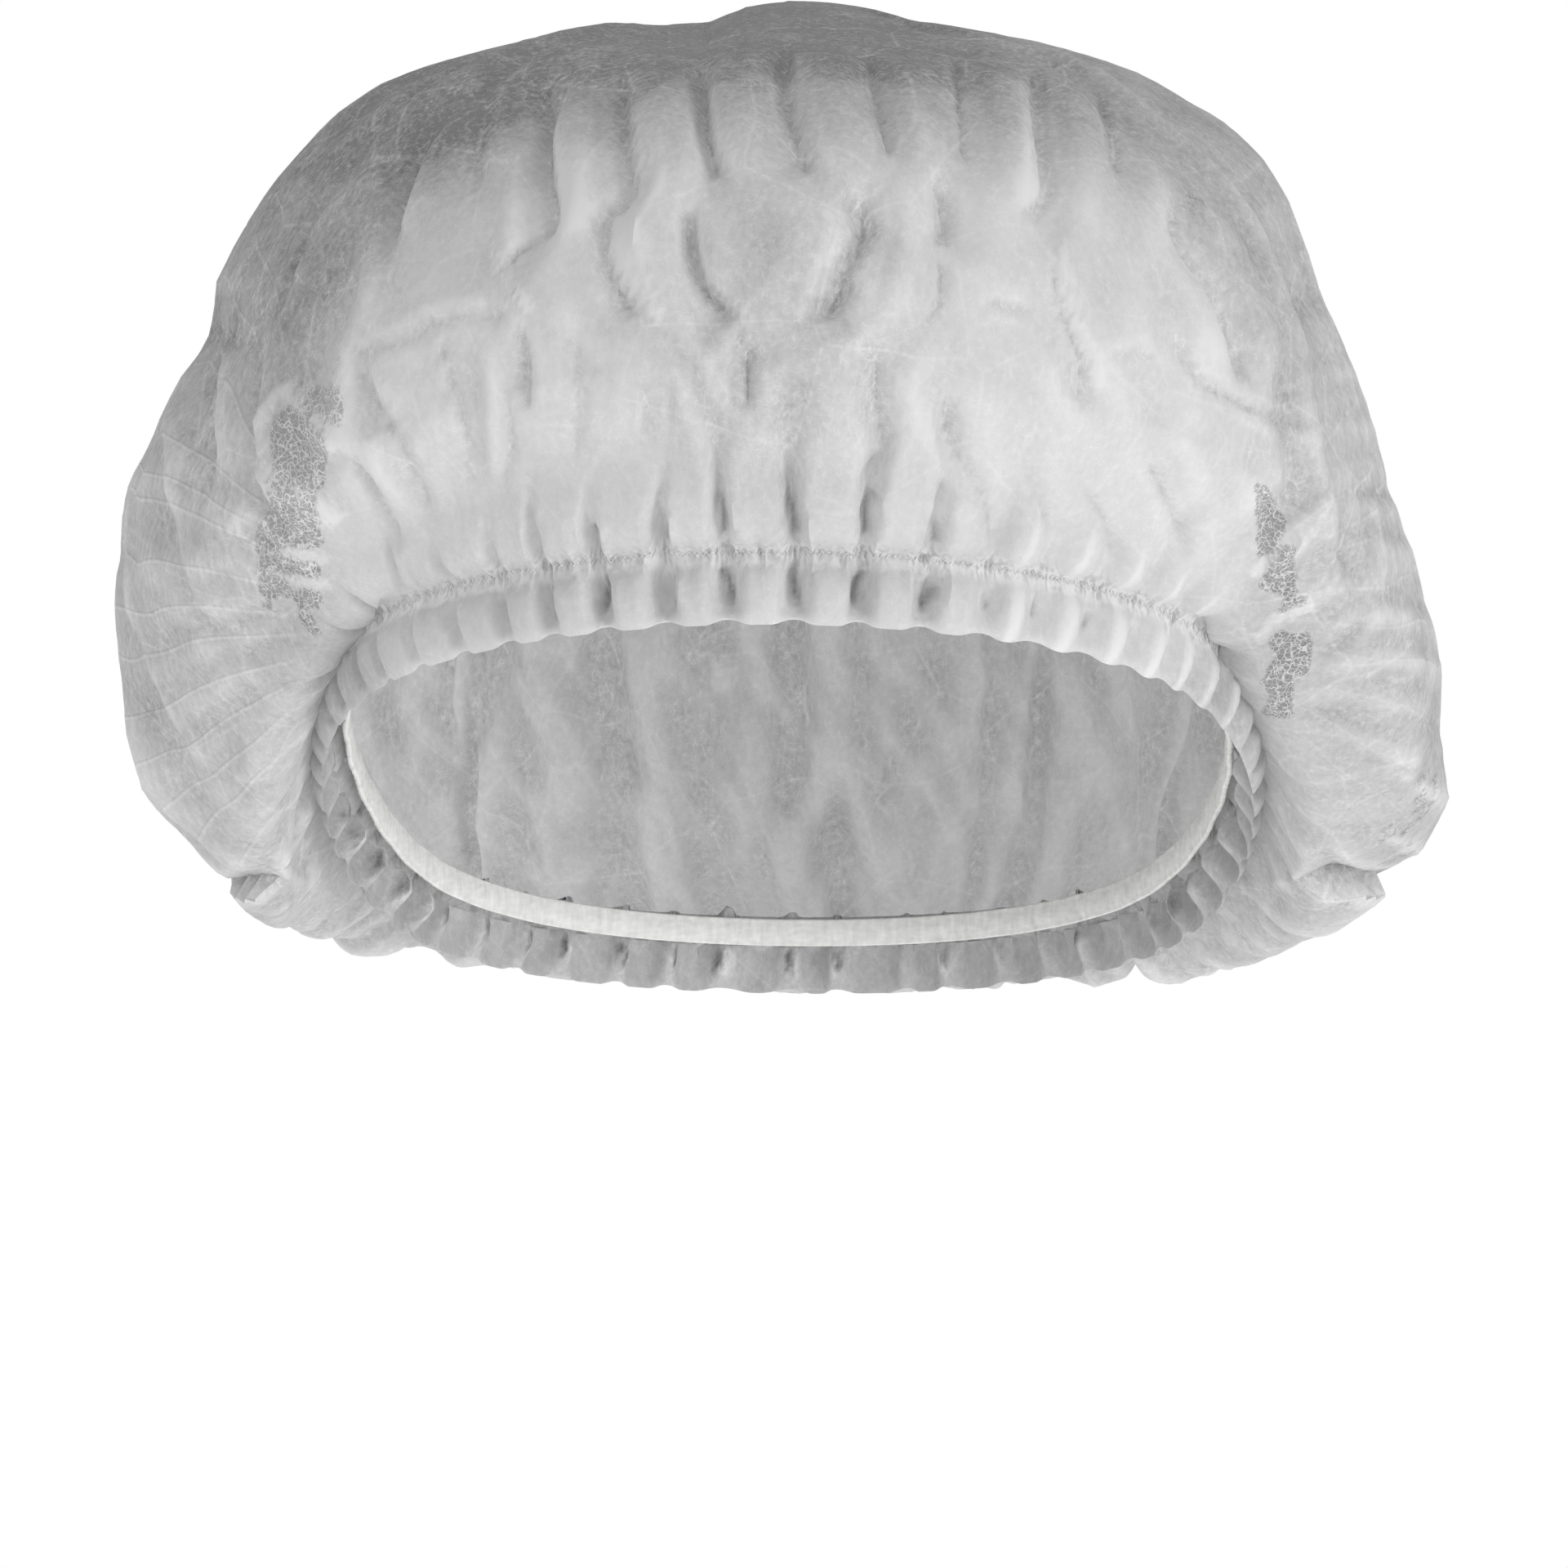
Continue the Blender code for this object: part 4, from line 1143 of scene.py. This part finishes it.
# cleft: a painted shade along a pocket's bottom
cleft = np.clip(CLEFT_HALF_WIDTH - np.abs(from_cleft), 0, 1).ravel() * smooth_step(*CLEFT_IN_POCKET, pocket)
cleft *= smooth_step(*CLEFT_ENDS[0], risen) * smooth_step(*CLEFT_ENDS[1], risen)
# stitch_line: where the crinkles at the stitches get their painted highlight and shade
stitch_line = np.exp(-((risen / LINE_REACH) ** 2))
stitch_line *= LINE_SHARE + LINE_MORE * smooth_step(*LINE_VALLEY, across)
# bag: the ear bags, painted a little lighter, a painted light, and with lighter pleat lines
bag = bag_share.ravel() * smooth_step(*BAG_RISE, risen) * smooth_step(*BAG_TOP, risen)
bag *= smooth_step(*BAG_DEPTH, places[:, 1]) * (1 - BAG_RIGHT * (places[:, 0] > 0))
hem = smooth_step(*HEM_DEPTH, risen)
print(f"{GATHERS} gathers have a pocket, and the deeper pockets have a cleft")

# %% [markdown]
# ## Carry the numbers over
#
# The mesh's points have an order of their own since its seam and its top were merged. So each point looks
# up the nearest place of the grid and takes over its numbers. How thin the cloth is gets evened out first,
# so that the gaps don't have the mesh's own stepped edges.

# %% Carry the numbers over to the mesh
mesh = crown.data
corner_points = np.empty(len(mesh.vertices) * 3)
mesh.vertices.foreach_get("co", corner_points)
to_grid = KDTree(len(places))
for i, place in enumerate(places):
    to_grid.insert(place, i)
to_grid.balance()
grid_index = np.array([to_grid.find(p)[1] for p in corner_points.reshape(-1, 3) / MM])


def evened(values):
    """A number on the grid, evened out between neighbouring columns and rows."""
    values = values.reshape(grid_shape)
    for axis in (0, 1):
        values = (np.roll(values, 1, axis=axis) + 2 * values + np.roll(values, -1, axis=axis)) / 4
    return values.ravel()


thin = evened(thin)
numbers = {
    "thin": thin,
    "painted_front_light": painted_front_light,
    "stitch_line": stitch_line,
    "fold": fold,
    "valley": valley,
    "crest": crest,
    "pocket": pocket,
    "cleft": cleft,
    "bag": bag,
    "hem": hem,
}
for name, values in numbers.items():
    layer = mesh.attributes.new(name, "FLOAT", "POINT")
    layer.data.foreach_set("value", values[grid_index].astype(np.float32))
    print(name, "on", round(100 * float((values > 0.5).mean()), 1), "% of the points")
thin_corners = thin[grid_index]

# %% [markdown]
# ## The elastic
#
# The elastic is a flat tape, half a centimetre wide: a few rubber threads side by side in a thin white
# sheath. It was stretched while it was sewn in, so it has gone short and the sheath has drawn up into small
# crosswise ribs. It is a loop of one profile, rounded at its edges, with grooves between the rubber
# threads.

# %% Model the elastic
TAPE_HALF_WIDTH, TAPE_HALF_THICKNESS = 2.45, 0.55
TAPE_COLUMNS, TAPE_PROFILE = 1120, 20
TAPE_DEPTH = WALL_AND_GAP + 0.75  # from the cloth's face to the tape's middle
EDGE_POWER = 0.5  # under 1: the profile is flatter, with rounder edges, than an ellipse
RIB_HEIGHT, RIBS = 0.09, 280  # mm, and how many there are round the loop
UNEVEN_HEIGHT, UNEVEN_WAVES = 0.05, 97  # mm by which the ribs differ, and how often round the loop
GROOVE_DEPTH, THREAD_SPACING = 0.10, 1.2  # mm, between the rubber threads
SNAKE_HEIGHT, SNAKE_WAVES = 0.12, 41  # mm by which the tape goes in and out, and how often round the loop

full_turn = 2 * math.pi
around = np.linspace(0, full_turn, TAPE_PROFILE + 1)
profile_across, profile_through = (
    (np.sign(f(around)) * np.abs(f(around)) ** EDGE_POWER)[:, None] for f in (np.sin, np.cos)
)
tape_turn = np.arange(TAPE_COLUMNS) / TAPE_COLUMNS
ribs = RIB_HEIGHT * np.sin(tape_turn * RIBS * full_turn)
ribs += UNEVEN_HEIGHT * np.sin(tape_turn * UNEVEN_WAVES * full_turn)
across_tape = profile_across * TAPE_HALF_WIDTH
grooves = GROOVE_DEPTH * np.cos(across_tape * full_turn / THREAD_SPACING) * np.abs(profile_through)
through_tape = profile_through * (TAPE_HALF_THICKNESS + ribs + grooves)
snake = SNAKE_HEIGHT * np.sin(tape_turn * SNAKE_WAVES * full_turn)
tape_foot = at_turn(foot, tape_turn) - at_turn(loop_outward, tape_turn) * (TAPE_DEPTH - snake)[:, None]
tape = tape_foot + at_turn(loop_up, tape_turn) * across_tape[..., None]
tape = tape + at_turn(loop_outward, tape_turn) * through_tape[..., None]
elastic = mesh_from_grid("elastic_tape", tape)
print("the elastic has", sum(len(p.vertices) - 2 for p in elastic.data.polygons), "triangles")

# %% [markdown]
# ## The stitches
#
# A zigzag stitch holds the elastic to the cloth and lets both stretch. The thread is thin and white. It
# follows every ridge and valley of the cloth that it is sewn through, and because the elastic has gone
# short since, its zigzags are crowded: about eleven to a gather.

# %% Sew the zigzag
STITCHES = 620
STITCH_HALF_WIDTH = 0.9  # mm
THREAD_RADIUS, THREAD_LIFT = 0.11, 0.12  # mm, the second off the cloth

normals_now = grid_normals(points)


def on_cloth(turns, wanted):
    """Points of the finished cloth and their outward directions, at one distance from the elastic."""
    rows = slice(HEM_COUNT, HEM_COUNT + FRILL_ROWS + NEAR_ROWS)
    above = int(np.searchsorted(distance[rows, 0], wanted)) + HEM_COUNT
    share = (wanted - distance[above - 1, 0]) / (distance[above, 0] - distance[above - 1, 0])
    found = []
    for table in (points, normals_now):
        sides = []
        for row in (above - 1, above):
            reads = [np.interp(turns % 1.0, turn[row] % 1.0, table[row, :, k], period=1.0) for k in range(3)]
            sides.append(np.stack(reads, axis=-1))
        found.append(sides[0] * (1 - share) + sides[1] * share)
    return found[0], unit(found[1])


stitch_turns = np.arange(STITCHES) / STITCHES
low, low_out = on_cloth(stitch_turns, -STITCH_HALF_WIDTH)
high, high_out = on_cloth(stitch_turns + 0.5 / STITCHES, STITCH_HALF_WIDTH)
low, high = low + low_out * THREAD_LIFT, high + high_out * THREAD_LIFT
route = np.stack((low, high), axis=1).reshape(-1, 3)

line = bpy.data.curves.new("zigzag_thread", "CURVE")
line.dimensions = "3D"
line.bevel_depth = THREAD_RADIUS * MM
line.bevel_resolution = 0
spline = line.splines.new("POLY")
spline.points.add(len(route) - 1)
spline.points.foreach_set("co", np.column_stack((route * MM, np.ones(len(route)))).ravel())
spline.use_cyclic_u = True
thread = bpy.data.objects.new("zigzag_thread", line)
bpy.context.scene.collection.objects.link(thread)
select_only(thread)
bpy.ops.object.convert(target="MESH")
thread = bpy.context.object
print(STITCHES, "zigzags,", sum(len(p.vertices) - 2 for p in thread.data.polygons), "triangles")

# %% [markdown]
# ## A short way to write materials
#
# Each material is a sum of a few patterns. So that it reads like one, a small class lets numbers and
# patterns be added, multiplied and compared with the usual signs, and makes the nodes as it goes.

# %% Sums of patterns
class Term:
    """A value in a material, so that shader maths reads like sums."""

    def __init__(self, look, socket):
        self.look, self.socket = look, socket

    def maths(self, operation, *values, clamp=False):
        inputs = dict(enumerate(values))
        return self.look.node("Math", {"operation": operation, "use_clamp": clamp}, inputs)

    def __add__(self, other):
        return self.maths("ADD", self, other)

    def __sub__(self, other):
        return self.maths("SUBTRACT", self, other)

    def __rsub__(self, other):
        return self.maths("SUBTRACT", other, self)

    def __mul__(self, other):
        return self.maths("MULTIPLY", self, other)

    def __truediv__(self, other):
        return self.maths("DIVIDE", self, other)

    def __rtruediv__(self, other):
        return self.maths("DIVIDE", other, self)

    def __pow__(self, other):
        return self.maths("POWER", self, other)

    def __abs__(self):
        return self.maths("ABSOLUTE", self)

    def clipped(self):
        return self.maths("ADD", self, 0.0, clamp=True)

    def or_more(self, other):
        return self.maths("MAXIMUM", self, other)

    def over(self, low, high):
        """0 below low, 1 above high, straight in between. It falls where low is the higher."""
        return ((self - low) / (high - low)).clipped()

    __radd__, __rmul__ = __add__, __mul__


NOISE_MIDDLE = 0.5
FILAMENT_CORE, DOT_CORE, LINE_CORE = 0.35, 0.5, 0.2  # share of a line's or dot's width from which it is full
SHEEN = 0.25


class Look:
    """A material under construction."""

    def __init__(self, name):
        self.material = bpy.data.materials.new(name)
        self.material.use_nodes = True
        self.tree = self.material.node_tree
        self.tree.nodes.clear()
        self.place = self.node("TexCoord", output="Object")

    def node(self, kind, settings=(), inputs=(), output=0):
        made = self.tree.nodes.new("ShaderNode" + kind)
        for name, value in dict(settings).items():
            setattr(made, name, value)
        for name, value in dict(inputs).items():
            if isinstance(value, Term):
                self.tree.links.new(value.socket, made.inputs[name])
            else:
                made.inputs[name].default_value = value
        return Term(self, made.outputs[output])

    def moved(self, shift, stretch=(1, 1, 1)):
        return self.node("Mapping", {}, {"Vector": self.place, "Location": shift, "Scale": stretch})

    def clouds(self, per_metre, detail=2.0, shift=0.0, stretch=(1, 1, 1)):
        """Noise from 0 to 1 with a given number of lumps to a metre."""
        where = self.moved((shift, shift * 0.7, -shift), stretch)
        return self.node("TexNoise", {}, {"Vector": where, "Scale": per_metre, "Detail": detail})

    def filaments(self, per_metre, width, shift=0.0, stretch=(1, 1, 1)):
        """Thin wandering lines: the places where a noise passes its middle value."""
        off_middle = abs(self.clouds(per_metre, 1.0, shift, stretch) - NOISE_MIDDLE)
        return off_middle.over(width, width * FILAMENT_CORE)

    def dots(self, per_metre, size):
        inputs = {"Vector": self.place, "Scale": per_metre}
        return self.node("TexVoronoi", {}, inputs, "Distance").over(size, size * DOT_CORE)

    def facet_lines(self, per_metre, width, shift):
        """Thin straight lines, as between the facets of crumpled paper."""
        inputs = {"Vector": self.moved((shift, -shift, shift)), "Scale": per_metre}
        edges = self.node("TexVoronoi", {"feature": "DISTANCE_TO_EDGE"}, inputs, "Distance")
        return edges.over(width, width * LINE_CORE)

    def fan_lines(self, centre, per_radian, width, waves, waviness):
        """Thin wavy lines that spread from one point at either side, seen from the front."""
        split = self.node("SeparateXYZ", {}, {"Vector": self.place})
        height = Term(self, split.socket.node.outputs["Z"]) - centre[1]
        beside = abs(split) - centre[0]
        angle = self.node("Math", {"operation": "ARCTAN2"}, {0: height, 1: beside})
        radius = (height * height + beside * beside) ** 0.5
        settings = {"voronoi_dimensions": "1D", "feature": "DISTANCE_TO_EDGE"}
        wavy = angle + self.clouds(waves, 1.0) * waviness
        edges = self.node("TexVoronoi", settings, {"W": wavy, "Scale": per_radian}, "Distance")
        return (edges * radius).over(width, width * LINE_CORE)

    def stored(self, name):
        return self.node("Attribute", {"attribute_name": name}, (), "Fac")

    def weighed(self, start, shares):
        """A number, and with it the given shares of what is stored on the mesh."""
        total = start
        for name, share in shares.items():
            total = total + self.stored(name) * share
        return total

    def blend(self, share, first, second):
        return self.node("Mix", {"data_type": "RGBA"}, {"Factor": share, 6: first, 7: second}, 2)

    def bump(self, height, strength, metres):
        return self.node("Bump", {}, {"Strength": strength, "Distance": metres, "Height": height})

    def finish(self, colour, roughness, normal, alpha=1.0, let_through=0.0, tint=None):
        inputs = {"Base Color": colour, "Roughness": roughness, "Normal": normal, "Alpha": alpha}
        inputs["Specular IOR Level"] = SHEEN
        surface = self.node("BsdfPrincipled", {}, inputs)
        if let_through:
            glow = self.node("BsdfTranslucent", {}, {"Color": tint, "Normal": normal})
            surface = self.node("MixShader", {}, {0: let_through, 1: surface, 2: glow})
        self.node_out(surface)
        return self.material

    def node_out(self, surface):
        out = self.tree.nodes.new("ShaderNodeOutputMaterial")
        self.tree.links.new(surface.socket, out.inputs["Surface"])


print("materials are written as sums of patterns")

# %% [markdown]
# ## Nonwoven cloth
#
# Spunbond nonwoven is a felt of endless filaments, each about a fiftieth of a millimetre thick, that are
# laid down at random and pressed together at small points. In a close picture one sees three things: cloudy
# patches where more or fewer filaments lie, fine wandering lines, and bright dots at the pressed points.
# The cloth is matt and lets about a third of the light through. At thin places only the filaments are left.
#
# All of it is one number, the density, and painted light and shade are added to it: the colour runs with it
# from the grey of a place that one looks through to white. First come the stored numbers, each with its
# share: the whiter front, pockets and ear bags are painted light, the ridges are partly doubled cloth and
# partly painted highlight, the grey top, hollows, clefts and crinkles are painted shade, and the hem is
# doubled cloth. Then come the patterns, which show more where the cloth is loose.

# %% The nonwoven's material
DENSE, SPARSE = (0.92, 0.92, 0.92, 1), (0.10, 0.10, 0.102, 1)
LET_THROUGH, GLOW_TINT = 0.30, (0.82, 0.82, 0.82, 1)
FLAT_DENSITY = 0.585  # of a flat single layer
# Painted light on the front, pockets and ear bags; painted highlight and doubled cloth on the ridges; painted
# shade on the top, hollows and clefts; the hem's doubled cloth.
DENSITY_AND_LIGHT_SHARES = {
    "painted_front_light": 0.235, "fold": 0.26, "crest": -0.60, "hem": -0.015,
    "valley": -0.09, "pocket": 0.28, "bag": 0.03, "cleft": -0.58,
}
FLAT_LOOSENESS = 0.50
LOOSENESS_SHARES = {"painted_front_light": -0.22, "valley": 0.6, "pocket": 0.4, "crest": 0.9}
CLOUD_SHARE, MOTTLE_SHARE, THREAD_SHARE, CREASE_SHARE = 0.53, 0.60, 0.23, 0.15  # of the loose cloth's density
# The pleats' share is a painted highlight along the ear bags' pleats.
BOND_SHARE, PLEAT_SHARE = 0.08, 0.12
CRINKLE_SHARE, CRINKLE_MIDDLE = 0.45, 0.62  # at the stitches, painted highlight and shade of the crinkles: lighter over the middle, darker under it
# painted shade in the crinkles of the pockets and along the clefts
POCKET_CRINKLE, CLEFT_CRINKLE = 0.08, 0.30
FAN_CENTRE = (0.059, 0.019)  # metres to either side and up: where the ear bags' pleats spread from
RELIEF_STRENGTH, RELIEF_DEPTH = 0.55, 0.0006  # the second in metres
CLOUD_RELIEF, MOTTLE_RELIEF, PLEAT_RELIEF, CRINKLE_RELIEF = 0.5, 0.2, 0.45, 0.9
CLOTH_ROUGHNESS, THREAD_GLOSS = 0.92, 0.12
GAP_START, GAP_FULL, RAGGED = 0.36, 0.62, 0.8  # thinness, and by how much the patterns shift it
GAP_ALPHA, GAP_PAINTED_SHADE, FIBRE_WHITE = 0.5, 0.50, 0.64  # what a gap takes away, the painted shade of what lies behind it, and what its filaments give back


def nonwoven_look(name, with_gaps):
    """The cloth's material. With gaps, only filaments are left where the cloth is stored as thin."""
    look = Look(name)
    clouds = look.clouds(70)
    mottle = look.clouds(900, detail=1.0, shift=4.0, stretch=(1, 1, 0.7))
    long_threads = look.filaments(520, width=0.016, shift=1.0, stretch=(1, 1, 0.5))
    short_threads = look.filaments(950, width=0.030, shift=2.0, stretch=(0.6, 1, 1))
    threads = long_threads.or_more(short_threads * 0.8)
    creases = look.facet_lines(44, width=0.016, shift=0.0)
    bonds = look.dots(700, size=0.22) * clouds.over(0.48, 0.62)
    # The ear bags' pleats are too fine for the mesh: each is a lighter line, a painted highlight, with a bump
    # for its relief.
    pleats = look.fan_lines(FAN_CENTRE, per_radian=6.4, width=0.0030, waves=30, waviness=0.25)
    pleats = pleats * look.stored("bag")
    crinkle = look.clouds(1500, detail=0.0, shift=7.0, stretch=(1, 1, 0.22))
    line = look.stored("stitch_line")

    uneven = (clouds - NOISE_MIDDLE) * CLOUD_SHARE + (mottle - NOISE_MIDDLE) * MOTTLE_SHARE
    uneven = uneven + threads * THREAD_SHARE + creases * CREASE_SHARE
    # Density, with the painted light and shade of the stored numbers.
    density_and_painted_light = look.weighed(FLAT_DENSITY, DENSITY_AND_LIGHT_SHARES)
    density_and_painted_light = density_and_painted_light + uneven * look.weighed(FLAT_LOOSENESS, LOOSENESS_SHARES)
    density_and_painted_light = density_and_painted_light + bonds * BOND_SHARE + pleats * PLEAT_SHARE
    # Painted highlight and shade of the crinkles at the stitches.
    density_and_painted_light = density_and_painted_light + line * (crinkle.over(0.36, 0.56) - CRINKLE_MIDDLE) * CRINKLE_SHARE
    # Painted shade in the pockets' crinkles and along the clefts.
    density_and_painted_light = density_and_painted_light - look.stored("pocket") * crinkle.over(0.62, 0.34) * POCKET_CRINKLE
    density_and_painted_light = density_and_painted_light - look.stored("cleft") * crinkle * CLEFT_CRINKLE
    relief = clouds * CLOUD_RELIEF + mottle * MOTTLE_RELIEF + pleats * PLEAT_RELIEF
    relief = relief + line * crinkle * CRINKLE_RELIEF
    normal = look.bump(relief, RELIEF_STRENGTH, RELIEF_DEPTH)
    alpha = 1.0
    if with_gaps:
        ragged = (look.clouds(420, detail=2.0, shift=6.0) - NOISE_MIDDLE) * RAGGED
        gap = (look.stored("thin") + ragged).over(GAP_START, GAP_FULL)
        net = look.facet_lines(1000, width=0.060, shift=9.0)
        net = net.or_more(look.filaments(640, width=0.040, shift=3.0))
        fibres = net.or_more(look.filaments(330, width=0.018, shift=5.0, stretch=(1, 1, 0.6)))
        alpha = (1 - gap * GAP_ALPHA).or_more(fibres).clipped()
        # A gap is painted with the shade of what lies behind it, and its filaments white.
        density_and_painted_light = density_and_painted_light - gap * GAP_PAINTED_SHADE + gap * fibres * FIBRE_WHITE
    colour = look.blend(density_and_painted_light.clipped(), SPARSE, DENSE)
    roughness = CLOTH_ROUGHNESS - threads * THREAD_GLOSS
    return look.finish(colour, roughness, normal, alpha, LET_THROUGH, GLOW_TINT)


nonwoven = nonwoven_look("nonwoven", False)
nonwoven_gaps = nonwoven_look("nonwoven_with_gaps", True)
print("the cloth's density reads", len(DENSITY_AND_LIGHT_SHARES), "of the stored numbers")

# %% [markdown]
# ## Elastic and thread
#
# The elastic's sheath is knitted from white yarn, so it shows crosswise ribs and a slightly creamy white.
# The thread is polyester, twisted from two plies, with a faint sheen.

# %% The elastic's and the thread's materials
YARN_SHADE, YARN_LIGHT = (0.66, 0.66, 0.645, 1), (0.86, 0.86, 0.85, 1)
THREAD_SHADE, THREAD_LIGHT = (0.74, 0.74, 0.74, 1), (0.90, 0.90, 0.90, 1)
YARN_RELIEF, THREAD_RELIEF = 0.0004, 0.0001  # metres

tape_look = Look("elastic_knit")
courses = tape_look.clouds(900, stretch=(1, 1, 0.35))
stripes = tape_look.clouds(420, detail=1.0, shift=2.0, stretch=(1, 1, 3.0))
knit = courses * 0.6 + stripes * 0.4
tape_colour = tape_look.blend(knit.over(0.3, 0.7), YARN_SHADE, YARN_LIGHT)
tape_normal = tape_look.bump(knit, 0.5, YARN_RELIEF)
elastic_knit = tape_look.finish(tape_colour, 0.85 - courses * 0.1, tape_normal)

thread_look = Look("thread_twist")
twist = thread_look.clouds(2600, 1.0)
thread_colour = thread_look.blend(twist.over(0.35, 0.65), THREAD_SHADE, THREAD_LIGHT)
thread_normal = thread_look.bump(twist, 0.4, THREAD_RELIEF)
thread_twist = thread_look.finish(thread_colour, 0.55 + twist * 0.2, thread_normal)
SMOOTH_CLOTH, SMOOTH_TAPE = 60, 50  # degrees between two faces over which their edge stays sharp
THIN_LEAST = 0.01  # thinness from which a face has the material with gaps


def dress(piece, material, angle):
    piece.data.materials.clear()
    piece.data.materials.append(material)
    select_only(piece)
    bpy.ops.object.shade_smooth_by_angle(angle=math.radians(angle))


dress(crown, nonwoven, SMOOTH_CLOTH)
crown.data.materials.append(nonwoven_gaps)
for face in crown.data.polygons:
    if any(thin_corners[v] > THIN_LEAST for v in face.vertices):
        face.material_index = 1
dress(elastic, elastic_knit, SMOOTH_TAPE)
dress(thread, thread_twist, SMOOTH_CLOTH)
print("dressed in", [m.name for piece in (crown, elastic, thread) for m in piece.data.materials])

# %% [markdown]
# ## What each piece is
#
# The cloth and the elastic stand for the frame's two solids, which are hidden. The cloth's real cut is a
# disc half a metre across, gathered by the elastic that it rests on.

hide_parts("crown_cloth")
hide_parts("elastic_band")
for piece in (crown, elastic, thread):
    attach(piece, "root")
print("the cloth, the elastic and the thread ride on the part's one body")

# %% [markdown]
# ## The studio
#
# The picture is a product shot on white: one large soft lamp in front, a little to the cap's left, and
# white all round. Most of the soft light comes back from the white floor and less from above, so the cap's
# top is its darkest part. The floor runs up into a white dome, so that the background is the same from any
# side. The dome only shows behind the cap and doesn't light it, since light from all sides would wash the
# folds out.

# %% Floor, dome and light
DOME_RADIUS, FLOOR_HEIGHT = 4.0, -0.27  # metres, as are all places in this cell
BACKDROP_LEVEL = 1.0
WORLD_LEVEL, WORLD_FALL = 0.74, 0.52  # light from the side, and how much less comes from above
KEY_PLACE, KEY_SIZE, KEY_WATTS = (1.15, -1.25, 0.02), 0.7, 8.5
AIM = Vector((0.0, 0.0, 0.03))

bpy.ops.object.select_all(action="DESELECT")
bpy.ops.mesh.primitive_uv_sphere_add(segments=48, ring_count=24, radius=DOME_RADIUS)
backdrop = bpy.context.object
backdrop.name = "floor_and_dome"
for v in backdrop.data.vertices:
    v.co.z = max(v.co.z, FLOOR_HEIGHT)
backdrop_look = Look("white_backdrop")
white = backdrop_look.node("Emission", {}, {"Color": (1, 1, 1, 1), "Strength": BACKDROP_LEVEL})
backdrop_look.node_out(white)
dress(backdrop, backdrop_look.material, SMOOTH_CLOTH)
backdrop.visible_diffuse = backdrop.visible_glossy = backdrop.visible_shadow = False
backdrop.visible_transmission = False

scene = bpy.context.scene
scene.view_settings.view_transform = "Standard"
world = bpy.data.worlds.new("soft_white")
world.use_nodes = True
nodes, links = world.node_tree.nodes, world.node_tree.links
direction = nodes.new("ShaderNodeTexCoord")
split = nodes.new("ShaderNodeSeparateXYZ")
level = nodes.new("ShaderNodeMath")
level.operation = "MULTIPLY_ADD"
level.inputs[1].default_value = -WORLD_FALL
level.inputs[2].default_value = WORLD_LEVEL
links.new(direction.outputs["Generated"], split.inputs["Vector"])
links.new(split.outputs["Z"], level.inputs[0])
links.new(level.outputs["Value"], nodes["Background"].inputs["Strength"])
nodes["Background"].inputs["Color"].default_value = (1, 1, 1, 1)
scene.world = world

bpy.ops.object.light_add(type="AREA", location=KEY_PLACE)
key = bpy.context.object
key.name = "key_softbox"
key.data.shape = "DISK"
key.data.size = KEY_SIZE
key.data.energy = KEY_WATTS
key.rotation_euler = (AIM - key.location).to_track_quat("-Z", "Y").to_euler()
print("light set")
